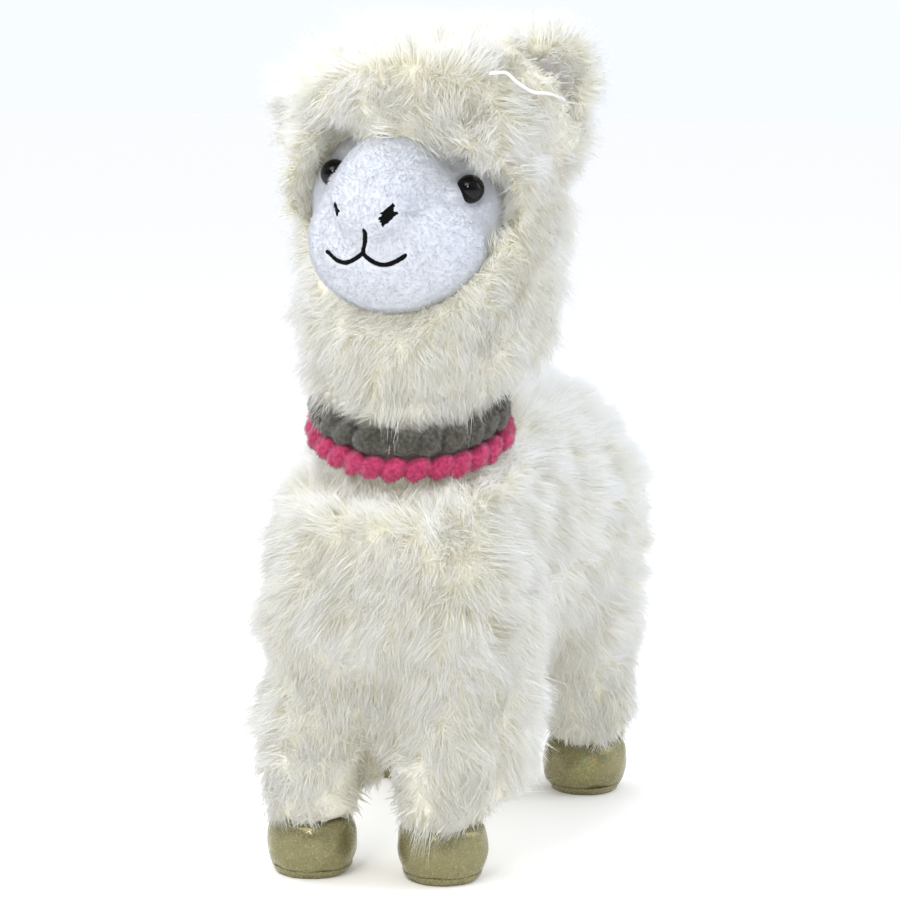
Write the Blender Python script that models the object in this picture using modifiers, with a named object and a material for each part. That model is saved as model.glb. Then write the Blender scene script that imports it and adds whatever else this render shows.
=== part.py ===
"""A plush toy llama that stands on four stuffed hooves.

The toy faces -Y and its own left is +X. Its long-pile fleece is modelled out to the tips of the
pile, as one soft body that is then parted into head, neck, trunk and legs. The forelock, tail,
ears, short-pile face, eyes, embroidery, collar, foil-cloth hooves and their soles are pieces of
their own. Sizes are in metres; tables of sections are in millimetres.
"""
import math

import bmesh
import bpy
from mathutils import Matrix, Vector
from mathutils.bvhtree import BVHTree

MM = 0.001
GAP = 0.3 * MM          # between pieces that touch

# Stance: where each hoof stands
HOOF_RADIUS = 18 * MM
HOOF_HEIGHT = 23 * MM
SOLE_HEIGHT = 3.2 * MM
HOOVES = {
    "front_left": (26, -83),
    "front_right": (-26, -90),
    "rear_left": (42, 62),
    "rear_right": (-41, 62),
}

# Where the fleece is parted
CHIN_CUT = 212 * MM
MIDDLE = -14 * MM        # between the front and the rear legs
LEG_CUTS = {
    # end: (a point on the cut, how steeply it rises towards that end)
    "front": (Vector((0, -36, 64)) * MM, 0.55),
    "rear": (Vector((0, 10, 60)) * MM, 0.45),
}

# Collar: two rows of bobbles round the neck, lower at the throat
COLLAR_CENTRE = Vector((3, -54, 176)) * MM
COLLAR_TILT = math.radians(18)
COLLAR_INNER = 30 * MM
COLLAR_BAND = 22 * MM
BOBBLE_RADIUS = 5 * MM
BOBBLE_WAIST = 0.14              # how far the row narrows between two bobbles
COLLAR_ROWS = {
    # row: (bobbles, ring radius, height above the band's middle)
    "collar_grey": (22, 35.4 * MM, 5.3 * MM),
    "collar_pink": (21, 36.4 * MM, -5.3 * MM),
}

# Face: its own frame sits on the neck's axis, level with the middle of the cheeks
FACE_CENTRE = Vector((5, -38, 257)) * MM
FACE_TURN = math.radians(-3)     # a glance towards the toy's right
FACE_TILT = math.radians(4.8)    # the left cheek hangs a little lower
FACE_BACK = 12 * MM
EYE_RADIUS = 5.6 * MM
EYE_SINK = 0.5 * MM
EYE_SPACING = 57 * MM
EYE_HEIGHT = 13.2 * MM
NOSTRIL_ACROSS = 9.5 * MM
NOSTRIL_HEIGHT = 4 * MM
NOSTRIL_RADII = (3.9 * MM, 3.4 * MM, 1.0 * MM)
MOUTH_LEVEL = -11 * MM
MOUTH_HALF = 17.5 * MM
MOUTH_DIP = 4.6 * MM
MOUTH_LIFT = 0.6 * MM            # the corners end a little above the middle
MOUTH_RISE = 10 * MM
STITCH_RADIUS = 0.6 * MM

FLEECE_VOXEL = 4.5 * MM
FLEECE_TRIANGLES = 1880
FACE_TRIANGLES = 560
SHARP_ANGLE = math.radians(40)

LYING = Matrix()                                 # as modelled: ovals flat, stacked upwards
UPRIGHT = Matrix.Rotation(math.pi / 2, 4, 'X')   # ovals stood up, strung along Y
ACROSS = Matrix.Rotation(math.pi / 2, 4, 'Y')    # ovals stood up, strung along X


# --- Scene and materials ---------------------------------------------------------------------

for leftover in list(bpy.data.objects):
    bpy.data.objects.remove(leftover, do_unlink=True)

parts = bpy.data.collections.new("plush_llama")
cutters = bpy.data.collections.new("cutters")
bpy.context.scene.collection.children.link(parts)
bpy.context.scene.collection.children.link(cutters)


def linear(hex_colour):
    """An sRGB hex value as the linear colour that a shader takes."""
    channels = [int(hex_colour[i:i + 2], 16) / 255 for i in (0, 2, 4)]
    return [c / 12.92 if c <= 0.04045 else ((c + 0.055) / 1.055) ** 2.4 for c in channels] + [1]


def material(name, hex_colour, roughness, metallic=0.0):
    made = bpy.data.materials.new(name)
    made.use_nodes = True
    shader = made.node_tree.nodes["Principled BSDF"]
    shader.inputs["Base Color"].default_value = linear(hex_colour)
    shader.inputs["Roughness"].default_value = roughness
    shader.inputs["Metallic"].default_value = metallic
    return made


# --- Small modelling tools -------------------------------------------------------------------

def keep(name, mesh, finish, place=LYING):
    """One named part, shaded smooth except at its sharp rims, and set in its place."""
    mesh.name = name
    mesh.materials.clear()
    mesh.materials.append(finish)
    mesh.shade_smooth()
    mesh.set_sharp_from_angle(angle=SHARP_ANGLE)
    made = bpy.data.objects.new(name, mesh)
    made.matrix_world = place
    parts.objects.link(made)


def as_cutter(name, mesh):
    """A shape that only carves others."""
    made = bpy.data.objects.new(name, mesh)
    cutters.objects.link(made)
    made.hide_render = True
    made.display_type = 'WIRE'
    return made


def mesh_of(bm):
    """A bmesh as a mesh with its faces outwards."""
    bmesh.ops.recalc_face_normals(bm, faces=bm.faces)
    mesh = bpy.data.meshes.new("shape")
    bm.to_mesh(mesh)
    bm.free()
    return mesh


def opened(mesh):
    """A bmesh copy of a mesh."""
    bm = bmesh.new()
    bm.from_mesh(mesh)
    return bm


def modified(mesh, steps):
    """A mesh after modifiers, each given as (kind, settings)."""
    holder = bpy.data.objects.new("holder", mesh)
    bpy.context.scene.collection.objects.link(holder)
    for kind, settings in steps:
        step = holder.modifiers.new(kind, kind)
        for setting, value in settings.items():
            setattr(step, setting, value)
    depsgraph = bpy.context.evaluated_depsgraph_get()
    depsgraph.update()
    result = bpy.data.meshes.new_from_object(holder.evaluated_get(depsgraph))
    bpy.data.objects.remove(holder, do_unlink=True)
    return result


def boolean(mesh, operation, tool):
    """A mesh joined with, cut by or kept inside a tool object."""
    settings = {"operation": operation, "solver": 'EXACT', "object": tool}
    return modified(mesh, [('BOOLEAN', settings)])


def decimated(mesh, triangles):
    bm = opened(mesh)
    now = sum(len(face.verts) - 2 for face in bm.faces)
    bm.free()
    return modified(mesh, [('DECIMATE', {"ratio": min(1, triangles / now)})])


def oval_tube(bm, sections, turn=LYING, sides=28):
    """A closed tube through oval sections, each (centre, half width, half depth) in millimetres."""
    def frame(section):
        centre, half_width, half_depth = section
        size = Matrix.Diagonal((half_width * MM, half_depth * MM, 1, 1))
        return Matrix.Translation(Vector(centre) * MM) @ turn @ size

    cap = bmesh.ops.create_circle(bm, cap_ends=True, segments=sides, radius=1,
                                  matrix=frame(sections[0]))["verts"][0].link_faces[0]
    ring = cap.edges[:]
    for before, after in zip(sections, sections[1:]):
        grown = bmesh.ops.extrude_edge_only(bm, edges=ring)["geom"]
        new_verts = [item for item in grown if isinstance(item, bmesh.types.BMVert)]
        ring = [item for item in grown if isinstance(item, bmesh.types.BMEdge) and item.is_boundary]
        step = frame(after) @ frame(before).inverted()
        bmesh.ops.transform(bm, matrix=step, verts=new_verts)
    bmesh.ops.holes_fill(bm, edges=ring)


def ball(bm, centre, radii, turn=LYING, segments=24, rings=14):
    """An ellipsoid, in millimetres."""
    size = Matrix.Diagonal((radii[0] * MM, radii[1] * MM, radii[2] * MM, 1))
    place = Matrix.Translation(Vector(centre) * MM) @ turn @ size
    bmesh.ops.create_uvsphere(bm, u_segments=segments, v_segments=rings, radius=1, matrix=place)


def side_of(mesh, point, normal):
    """The closed piece of a mesh on the side of a plane that its normal points to."""
    bm = opened(mesh)
    normal = Vector(normal).normalized()
    everything = bm.verts[:] + bm.edges[:] + bm.faces[:]
    bmesh.ops.bisect_plane(bm, geom=everything, plane_co=Vector(point) + normal * GAP / 2,
                           plane_no=normal, clear_inner=True)
    rim = [edge for edge in bm.edges if edge.is_boundary]
    caps = bmesh.ops.holes_fill(bm, edges=rim)["faces"]
    bmesh.ops.triangulate(bm, faces=caps)
    return mesh_of(bm)


def moved(mesh, matrix):
    """A copy of a mesh in another place."""
    copy = mesh.copy()
    copy.transform(matrix)
    return copy


def swollen(mesh, by):
    """A copy of a closed mesh grown outwards along its normals."""
    bm = opened(mesh)
    bm.normal_update()
    grown = [(vert, vert.co + vert.normal * by) for vert in bm.verts]
    for vert, place in grown:
        vert.co = place
    return mesh_of(bm)


# --- Fleece ----------------------------------------------------------------------------------

def column(bm):
    """Neck and head: a tall plump column with a waist for the collar and a flat crown."""
    oval_tube(bm, [
        ((2, -54, 138), 54, 38),
        ((2, -54, 160), 52, 38),
        ((3, -53, 172), 45, 37),
        ((3, -53, 179), 42, 37),
        ((4, -48, 190), 50, 47),
        ((6, -42, 206), 55.5, 54),
        ((7, -40, 232), 57.5, 55),
        ((7, -38, 270), 60, 55),
        ((7.5, -36, 298), 59.5, 53),
        ((9, -35, 315), 52, 46),
        ((10, -34, 326), 38, 34),
        ((11, -34, 331), 20, 18),
    ])


def barrel(bm):
    """Chest, back and rump, lying along Y."""
    oval_tube(bm, [
        ((1, -110, 120), 16, 20),
        ((1, -104, 121), 34, 36),
        ((1, -91, 123), 49, 49),
        ((1, -68, 126), 56, 58),
        ((1, -36, 127), 60, 61),
        ((0, 4, 126), 65, 64),
        ((0, 36, 124), 71, 67),
        ((0, 60, 122), 75, 69),
        ((0, 82, 120), 68, 62),
        ((0, 96, 118), 46, 44),
        ((0, 102, 116), 20, 19),
    ], UPRIGHT)


def front_right_leg(bm, x, y):
    """A straight leg with a fluffy cuff over the hoof."""
    oval_tube(bm, [
        ((x, y, 18), 19, 20),
        ((x, y + 1, 25), 24, 23),
        ((x - 1.5, y + 5, 42), 27.5, 28),
        ((x - 1, y + 8, 68), 28, 33),
        ((x + 1, y + 12, 100), 27, 36),
        ((x + 3, y + 18, 132), 26, 36),
    ])


def front_left_leg(bm, x, y):
    """The left leg stands turned out, so its back swells to the side."""
    oval_tube(bm, [
        ((x, y, 18), 19, 20),
        ((x + 4, y + 5, 25), 27, 29),
        ((x + 7, y + 12, 42), 33, 38),
        ((x + 7, y + 14, 64), 33, 40),
        ((x + 5, y + 14, 100), 33, 41),
        ((x + 3, y + 16, 132), 31, 42),
    ])


def rear_leg(bm, x, y):
    """A wider leg that swells into the haunch."""
    oval_tube(bm, [
        ((x, y, 18), 19, 20),
        ((x, y, 25), 23, 25),
        ((x, y, 46), 26, 30),
        ((x * 0.98, y, 72), 28, 36),
        ((x * 0.90, y - 2, 104), 33, 41),
    ])


def fleece():
    """The whole coat as one soft closed body."""
    bm = bmesh.new()
    column(bm)
    barrel(bm)
    legs = {"front_left": front_left_leg, "front_right": front_right_leg}
    for name, (x, y) in HOOVES.items():
        legs.get(name, rear_leg)(bm, x, y)
    body = modified(mesh_of(bm), [
        ('REMESH', {"mode": 'VOXEL', "voxel_size": FLEECE_VOXEL}),
        ('SMOOTH', {"factor": 0.6, "iterations": 8}),
    ])
    return decimated(body, FLEECE_TRIANGLES)


def collar_frame():
    return Matrix.Translation(COLLAR_CENTRE) @ Matrix.Rotation(COLLAR_TILT, 4, 'X')


def collar_groove():
    """The ring of space that the collar lies in, as a turned rectangle."""
    bm = bmesh.new()
    inner, outer, half = COLLAR_INNER, COLLAR_INNER + 40 * MM, COLLAR_BAND / 2
    corners = [(inner, half), (outer, half), (outer, -half), (inner, -half)]
    verts = [bm.verts.new((radius, 0, height)) for radius, height in corners]
    loop = [bm.edges.new((verts[i], verts[(i + 1) % 4])) for i in range(4)]
    bmesh.ops.spin(bm, geom=verts + loop, cent=(0, 0, 0), axis=(0, 0, 1),
                   angle=math.tau, steps=30, use_merge=True)
    bmesh.ops.transform(bm, matrix=collar_frame(), verts=bm.verts)
    return mesh_of(bm)


def collar_row(bobbles, ring, height):
    """A ring of round bobbles: a torus whose tube swells and narrows along its way."""
    bm = bmesh.new()
    bmesh.ops.create_circle(bm, segments=5, radius=BOBBLE_RADIUS,
                            matrix=Matrix.Translation((ring, 0, height)) @ UPRIGHT)
    bmesh.ops.spin(bm, geom=bm.verts[:] + bm.edges[:], cent=(0, 0, 0), axis=(0, 0, 1),
                   angle=math.tau, steps=bobbles * 3, use_merge=True)
    for vert in bm.verts:
        turn = math.atan2(vert.co.y, vert.co.x)
        centre = Vector((ring * math.cos(turn), ring * math.sin(turn), height))
        swell = 1 - BOBBLE_WAIST * (1 - math.cos(bobbles * turn))
        vert.co = centre + (vert.co - centre) * swell
    return mesh_of(bm)


# --- Face ------------------------------------------------------------------------------------

def face_frame():
    turn = Matrix.Rotation(FACE_TURN, 4, 'Z') @ Matrix.Rotation(FACE_TILT, 4, 'Y')
    return Matrix.Translation(FACE_CENTRE) @ turn


def face_mesh():
    """Flat cheeks, a round muzzle below and the stuffed bridge of the nose above it."""
    bm = bmesh.new()
    ball(bm, (0, -16, 3), (39.5, 24, 32))
    ball(bm, (0, -31, -11.5), (36.5, 34, 27))
    oval_tube(bm, [
        ((0, -22, 26), 10, 8),
        ((0, -26, 25), 16, 13),
        ((0, -37, 20), 20.5, 17),
        ((0, -49, 14), 20.5, 16),
        ((0, -59, 9), 18, 14),
        ((0, -67, 5), 13, 10),
        ((0, -70, 4), 7, 5),
    ], UPRIGHT)
    lump = modified(mesh_of(bm), [
        ('REMESH', {"mode": 'VOXEL', "voxel_size": 2.2 * MM}),
        ('SMOOTH', {"factor": 0.5, "iterations": 4}),
    ])
    front = side_of(lump, (0, -FACE_BACK, 0), (0, -1, 0))
    return moved(decimated(front, FACE_TRIANGLES), face_frame())


def face_pocket():
    """The room that the fleece leaves for the face, flaring forwards."""
    bm = bmesh.new()
    oval_tube(bm, [
        ((0, -FACE_BACK / MM + 0.5, 0.8), 41.2, 38.4),
        ((0, -31, -0.4), 41.6, 39.8),
        ((0, -45, -0.8), 41.8, 39.6),
        ((0, -100, -0.8), 44, 40.5),
    ], UPRIGHT, 20)
    return moved(mesh_of(bm), face_frame())


class Surface:
    """Finds places on a mesh by casting rays back at it from in front of the face."""

    def __init__(self, mesh):
        bm = opened(mesh)
        self.tree = BVHTree.FromBMesh(bm)
        bm.free()
        self.forward = face_frame().to_3x3() @ Vector((0, -1, 0))

    def at(self, x, z):
        """The point and the normal at a place across and up in the face's frame, in metres."""
        start = face_frame() @ Vector((x, -120 * MM, z))
        point, normal, _, _ = self.tree.ray_cast(start, -self.forward)
        return point, normal


def tube(points, radius, resolution):
    """A closed tube along points."""
    curve = bpy.data.curves.new("route", 'CURVE')
    curve.dimensions = '3D'
    curve.bevel_depth = radius
    curve.bevel_resolution = resolution
    curve.use_fill_caps = True
    spline = curve.splines.new('POLY')
    spline.points.add(len(points) - 1)
    for knot, place in zip(spline.points, points):
        knot.co = (*place, 1)
    holder = bpy.data.objects.new("route", curve)
    bpy.context.scene.collection.objects.link(holder)
    depsgraph = bpy.context.evaluated_depsgraph_get()
    depsgraph.update()
    solid = bpy.data.meshes.new_from_object(holder.evaluated_get(depsgraph))
    bpy.data.objects.remove(holder, do_unlink=True)
    bm = opened(solid)
    bmesh.ops.remove_doubles(bm, verts=bm.verts, dist=0.01 * MM)
    return mesh_of(bm)


def mouth_mesh(surface, radius):
    """A stitched W: two shallow arcs that meet under a short upright stroke."""
    steps = 12
    arcs = []
    for i in range(steps + 1):
        across = -1 + 2 * i / steps
        sag = MOUTH_DIP * math.sin(math.pi * abs(across)) - MOUTH_LIFT * abs(across)
        arcs.append(surface.at(MOUTH_HALF * across, MOUTH_LEVEL - sag)[0])
    stroke = [surface.at(0, MOUTH_LEVEL + MOUTH_RISE * i / 3)[0] for i in range(4)]
    smile = tube(arcs, radius, 1)
    upright = as_cutter("mouth_stroke", tube(stroke, radius * 1.02, 1))
    return boolean(smile, 'UNION', upright)


def nostril_mesh(surface, side, grow):
    """A flat embroidered lozenge beside the tip of the nose."""
    point, normal = surface.at(side * NOSTRIL_ACROSS, NOSTRIL_HEIGHT)
    facing = normal.to_track_quat('Z', 'Y').to_matrix().to_4x4()
    size = Matrix.Diagonal((*(radius + grow for radius in NOSTRIL_RADII), 1))
    bm = bmesh.new()
    bmesh.ops.create_uvsphere(bm, u_segments=8, v_segments=5, radius=1,
                              matrix=Matrix.Translation(point) @ facing @ size)
    return mesh_of(bm)


def eye_mesh(surface, side, grow):
    """A round bead, nearly half of it standing out of the cheek."""
    point, normal = surface.at(side * EYE_SPACING / 2, EYE_HEIGHT)
    bm = bmesh.new()
    bmesh.ops.create_uvsphere(bm, u_segments=12, v_segments=8, radius=EYE_RADIUS + grow,
                              matrix=Matrix.Translation(point - normal * EYE_SINK))
    return mesh_of(bm)


# --- Ears, forelock and tail -----------------------------------------------------------------

EARS = {
    # side: (centre, half sizes, lean outwards, turn to the side, nod forwards)
    "left": ((53, -37, 305), (21, 11, 27), 16, 22, 12),
    "right": ((-48, -32, 289), (15, 10, 22), -26, -20, 10),
}


def ear_frame(side):
    centre, _, lean, turn, nod = EARS[side]
    turning = Matrix.Rotation(math.radians(turn), 4, 'Z')
    leaning = Matrix.Rotation(math.radians(lean), 4, 'Y')
    nodding = Matrix.Rotation(math.radians(nod), 4, 'X')
    return Matrix.Translation(Vector(centre) * MM) @ turning @ leaning @ nodding


def ear_shell(side, grow):
    """The outer shape of an ear, before it is placed."""
    bm = bmesh.new()
    ball(bm, (0, 0, 0), [radius + grow for radius in EARS[side][1]], LYING, 13, 8)
    return mesh_of(bm)


def ear_meshes(side):
    """The furry cup of an ear and the short-pile lining that lies in it."""
    radii = EARS[side][1]
    shell = ear_shell(side, 0)
    bm = bmesh.new()
    ball(bm, (0, -radii[1] - 1, 0), (radii[0] * 0.62, 8, radii[2] * 0.7), LYING, 10, 7)
    hollow = mesh_of(bm)
    furry = boolean(shell, 'DIFFERENCE', as_cutter(f"ear_hollow_{side}", hollow))
    core = as_cutter(f"ear_core_{side}", moved(shell, Matrix.Diagonal((0.97, 0.97, 0.97, 1))))
    inside = moved(hollow, Matrix.Translation((0, -1.6 * MM, 0)))
    pad = boolean(swollen(hollow, -GAP), 'INTERSECT', core)
    lining = boolean(pad, 'DIFFERENCE', as_cutter(f"ear_lining_front_{side}", inside))
    return furry, lining


def forelock_mesh():
    """The roll of long pile that falls over the brow, from temple to temple."""
    bm = bmesh.new()
    oval_tube(bm, [
        ((-52, -52, 294), 9, 5),
        ((-46, -61, 297), 14, 9),
        ((-31, -74, 302), 18, 13),
        ((-10, -82, 307), 20, 14),
        ((14, -83, 307), 21, 14),
        ((36, -75, 302), 21, 14),
        ((50, -62, 295), 17, 10),
        ((57, -50, 291), 9, 6),
    ], ACROSS, 14)
    return modified(mesh_of(bm), [('SMOOTH', {"factor": 0.5, "iterations": 2})])


def tail_mesh():
    """A small tuft at the top of the rump."""
    bm = bmesh.new()
    ball(bm, (0, 102, 140), (15, 11, 20), Matrix.Rotation(math.radians(-18), 4, 'X'), 12, 8)
    return mesh_of(bm)


# --- Hooves ----------------------------------------------------------------------------------

def turned(profile, sides=17):
    """A solid turned round Z, from a profile of (radius, height) that runs from top to bottom."""
    bm = bmesh.new()
    verts = [bm.verts.new((radius, 0, height)) for radius, height in profile]
    edges = [bm.edges.new(pair) for pair in zip(verts, verts[1:])]
    bmesh.ops.spin(bm, geom=verts + edges, cent=(0, 0, 0), axis=(0, 0, 1),
                   angle=math.tau, steps=sides, use_merge=True)
    bmesh.ops.remove_doubles(bm, verts=bm.verts, dist=0.001 * MM)
    return mesh_of(bm)


def hoof_mesh():
    """A stuffed drum of foil cloth with soft shoulders."""
    low, high, radius = SOLE_HEIGHT + GAP, HOOF_HEIGHT, HOOF_RADIUS
    return turned([
        (0, high),
        (radius * 0.84, high),
        (radius * 0.96, high - 2 * MM),
        (radius, high - 8 * MM),
        (radius * 0.99, low + 6 * MM),
        (radius * 0.95, low + 2 * MM),
        (radius * 0.89, low),
        (0, low),
    ])


def sole_mesh():
    """The flat disc sewn under a hoof."""
    return turned([
        (0, SOLE_HEIGHT),
        (HOOF_RADIUS * 0.89, SOLE_HEIGHT),
        (HOOF_RADIUS * 0.88, 1.2 * MM),
        (HOOF_RADIUS * 0.82, 0),
        (0, 0),
    ])


# --- String ----------------------------------------------------------------------------------

STRING_RADIUS = 0.6 * MM
STRING_ROUTE = [
    # from the ear's fur to the free end
    (64.0, -49.2, 301.3),
    (60.0, -57.2, 303.8),
    (55.8, -63.8, 304.6),
    (50.6, -68.4, 308.6),
    (47.2, -71.0, 312.0),
    (43.0, -76.8, 311.8),
]


def smooth_route(points, spacing):
    """Points at even spacing along a smooth curve through hand-set ones."""
    knots = [Vector(point) * MM for point in points]
    ends = [2 * knots[0] - knots[1]] + knots + [2 * knots[-1] - knots[-2]]
    fine = []
    for a, b, c, d in zip(ends, ends[1:], ends[2:], ends[3:]):
        for i in range(12):
            t = i / 12
            fine.append(0.5 * ((2 * b) + (c - a) * t + (2 * a - 5 * b + 4 * c - d) * t ** 2
                               + (3 * b - a - 3 * c + d) * t ** 3))
    fine.append(knots[-1])
    even = [fine[0]]
    for point in fine:
        if (point - even[-1]).length >= spacing:
            even.append(point)
    return even


# --- The toy ---------------------------------------------------------------------------------

def main():
    plush = material("plush_fleece", "EFECDF", 0.95)
    velour = material("face_velour", "EDF0F6", 0.9)
    foil = material("gold_foil_cloth", "A39C70", 0.45, 0.35)
    black = material("black_bead", "050506", 0.08)
    thread = material("black_thread", "121214", 0.6)
    grey = material("grey_chenille", "7E7A70", 0.95)
    pink = material("pink_chenille", "E0407F", 0.9)
    short_pile = material("ear_velour", "C6C0B6", 0.9)
    nylon = material("white_nylon", "F4F6FA", 0.4)

    face = face_mesh()
    surface = Surface(face)
    furry = {}
    linings = {}
    for side in EARS:
        furry[side], linings[side] = ear_meshes(side)
    forelock = forelock_mesh()
    tail = tail_mesh()

    body = boolean(fleece(), 'DIFFERENCE', as_cutter("collar_groove", collar_groove()))
    collar_normal = collar_frame().to_3x3() @ Vector((0, 0, 1))
    upper = side_of(body, COLLAR_CENTRE, collar_normal)
    lower = side_of(body, COLLAR_CENTRE, -collar_normal)

    head = side_of(upper, (0, 0, CHIN_CUT), (0, 0, 1))
    neck = side_of(upper, (0, 0, CHIN_CUT), (0, 0, -1))
    pocket = as_cutter("face_pocket", face_pocket())
    forelock_room = as_cutter("forelock_room", swollen(forelock, GAP))
    face_room = as_cutter("face_room", swollen(face, GAP))
    head = boolean(head, 'DIFFERENCE', pocket)
    head = boolean(head, 'DIFFERENCE', forelock_room)
    neck = boolean(neck, 'DIFFERENCE', pocket)
    forelock = boolean(forelock, 'DIFFERENCE', face_room)
    for side in EARS:
        room = moved(ear_shell(side, GAP / MM), ear_frame(side))
        ear_room = as_cutter(f"ear_room_{side}", room)
        head = boolean(head, 'DIFFERENCE', ear_room)
        forelock = boolean(forelock, 'DIFFERENCE', ear_room)

    trunk = lower
    leg_pairs = {}
    for end, forward in (("front", -1), ("rear", 1)):
        place, rise = LEG_CUTS[end]
        normal = Vector((0, -forward * rise, 1))
        trunk = side_of(trunk, place, normal)
        leg_pairs[end] = side_of(side_of(lower, place, -normal), (0, MIDDLE, 0), (0, forward, 0))
    trunk = boolean(trunk, 'DIFFERENCE', as_cutter("tail_room", swollen(tail, GAP)))
    for name in HOOVES:
        end, side = name.split("_")
        outwards = 1 if side == "left" else -1
        leg = side_of(leg_pairs[end], (0, 0, 0), (outwards, 0, 0))
        leg = side_of(leg, (0, 0, HOOF_HEIGHT + GAP / 2), (0, 0, 1))
        keep(f"leg_{name}", leg, plush)
    keep("trunk", trunk, plush)
    keep("head", head, plush)
    keep("neck", neck, plush)
    keep("forelock", forelock, plush)
    keep("tail", tail, plush)
    for side in EARS:
        keep(f"ear_{side}", furry[side], plush, ear_frame(side))
        keep(f"ear_lining_{side}", linings[side], short_pile, ear_frame(side))

    for side, sign in (("left", 1), ("right", -1)):
        keep(f"eye_{side}", eye_mesh(surface, sign, 0), black)
        keep(f"nostril_{side}", nostril_mesh(surface, sign, 0), thread)
        for piece, shape in (("eye", eye_mesh), ("nostril", nostril_mesh)):
            room = as_cutter(f"{piece}_room_{side}", shape(surface, sign, GAP))
            face = boolean(face, 'DIFFERENCE', room)
    keep("mouth", mouth_mesh(surface, STITCH_RADIUS), thread)
    mouth_room = as_cutter("mouth_room", mouth_mesh(surface, STITCH_RADIUS + GAP))
    keep("face", boolean(face, 'DIFFERENCE', mouth_room), velour)

    for name, (bobbles, ring, height) in COLLAR_ROWS.items():
        yarn = grey if name == "collar_grey" else pink
        keep(name, collar_row(bobbles, ring, height), yarn, collar_frame())

    for name, (x, y) in HOOVES.items():
        place = Matrix.Translation(Vector((x, y, 0)) * MM)
        keep(f"hoof_{name}", hoof_mesh(), foil, place)
        keep(f"sole_{name}", sole_mesh(), foil, place)

    route = smooth_route(STRING_ROUTE, 5 * STRING_RADIUS)
    keep("tag_string", tube(route, STRING_RADIUS, 2), nylon)


main()
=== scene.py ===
# %% [markdown]
# # A plush llama in long-pile fleece
# A plush toy is a cloth body stuffed with fibre. This one has a body of long-pile fleece, a face of
# short-pile velour, bead eyes, embroidery, a two-row chenille collar and foil-cloth hooves. The packed
# model gives every piece its size and place, so it is loaded first and each new piece is built round it.
# The pieces follow in the order of the toy's making: string, cloth, pile, face, collar and hooves.

# %% Load the frame
import math

import bmesh
import bpy
import numpy as np
from mathutils import Matrix, Vector
from mathutils.bvhtree import BVHTree
from mathutils.kdtree import KDTree


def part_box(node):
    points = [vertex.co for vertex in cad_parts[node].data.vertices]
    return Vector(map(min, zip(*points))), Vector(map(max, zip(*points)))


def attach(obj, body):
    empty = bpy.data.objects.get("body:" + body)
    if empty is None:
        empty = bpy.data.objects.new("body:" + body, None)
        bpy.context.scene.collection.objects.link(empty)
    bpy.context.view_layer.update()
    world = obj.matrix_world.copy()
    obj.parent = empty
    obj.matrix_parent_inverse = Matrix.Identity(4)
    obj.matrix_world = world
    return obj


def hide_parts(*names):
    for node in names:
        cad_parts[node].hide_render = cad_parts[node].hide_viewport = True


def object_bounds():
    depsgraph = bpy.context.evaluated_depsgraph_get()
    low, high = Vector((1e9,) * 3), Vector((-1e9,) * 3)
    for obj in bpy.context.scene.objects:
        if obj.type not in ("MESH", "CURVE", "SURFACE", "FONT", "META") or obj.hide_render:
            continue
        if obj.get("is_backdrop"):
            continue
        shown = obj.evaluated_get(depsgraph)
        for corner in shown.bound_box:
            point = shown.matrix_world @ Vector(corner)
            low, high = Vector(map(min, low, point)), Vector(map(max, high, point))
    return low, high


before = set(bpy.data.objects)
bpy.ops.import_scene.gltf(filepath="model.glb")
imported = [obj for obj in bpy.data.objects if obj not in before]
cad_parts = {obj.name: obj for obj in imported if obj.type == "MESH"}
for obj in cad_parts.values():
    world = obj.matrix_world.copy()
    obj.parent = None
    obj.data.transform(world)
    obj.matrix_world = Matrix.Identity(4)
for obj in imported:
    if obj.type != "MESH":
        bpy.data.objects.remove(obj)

MM = 0.001
CAD_LOW, CAD_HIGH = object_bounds()
print("size in mm:", [round(side / MM) for side in CAD_HIGH - CAD_LOW])

# %% [markdown]
# ## Camera
# A long lens from a little above and to the toy's left keeps the upright neck straight while both front
# legs and one hind hoof show. The aim is set from the middle of the whole toy.

# %% Camera
VIEW_TURN = math.radians(18.5)
VIEW_RISE = math.radians(8.9)
VIEW_DISTANCE = 1.2
LENS = 121.5
AIM_OFFSET = Vector((17.1, -46.9, -2.5)) * MM

aim = (CAD_LOW + CAD_HIGH) / 2 + AIM_OFFSET
away = Vector((math.sin(VIEW_TURN) * math.cos(VIEW_RISE),
               -math.cos(VIEW_TURN) * math.cos(VIEW_RISE),
               math.sin(VIEW_RISE)))
camera = bpy.data.objects.new("camera", bpy.data.cameras.new("camera"))
bpy.context.scene.collection.objects.link(camera)
camera.location = aim + away * VIEW_DISTANCE
camera.rotation_euler = (-away).to_track_quat('-Z', 'Y').to_euler()
camera.data.lens = LENS
bpy.context.scene.camera = camera
print("camera at", [round(value, 3) for value in camera.location])

# %% [markdown]
# ## Materials helper
# Every finish is a small node tree. One helper adds a node with its settings and its links, and another
# turns the sRGB hex value of a colour card into the linear numbers that a shader works in.

# %% Node helper


def linear(hex_colour):
    channels = [int(hex_colour[i:i + 2], 16) / 255 for i in (0, 2, 4)]
    return [c / 12.92 if c <= 0.04045 else ((c + 0.055) / 1.055) ** 2.4 for c in channels] + [1]


def add(tree, kind, settings=(), links=()):
    """A node with its settings, which are properties or input values, and its input links."""
    made = tree.nodes.new(kind)
    for name, value in dict(settings).items():
        if name in made.inputs:
            made.inputs[name].default_value = value
        else:
            setattr(made, name, value)
    for name, source in dict(links).items():
        tree.links.new(source, made.inputs[name])
    return made


def finish_of(name, **sockets):
    """A new material: its tree and its shader, with the constants set on the shader's own sockets."""
    made = bpy.data.materials.new(name)
    made.use_nodes = True
    shader = made.node_tree.nodes["Principled BSDF"]
    for socket, value in sockets.items():
        shader.inputs[socket.replace("_", " ")].default_value = value
    return made, made.node_tree, shader


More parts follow.
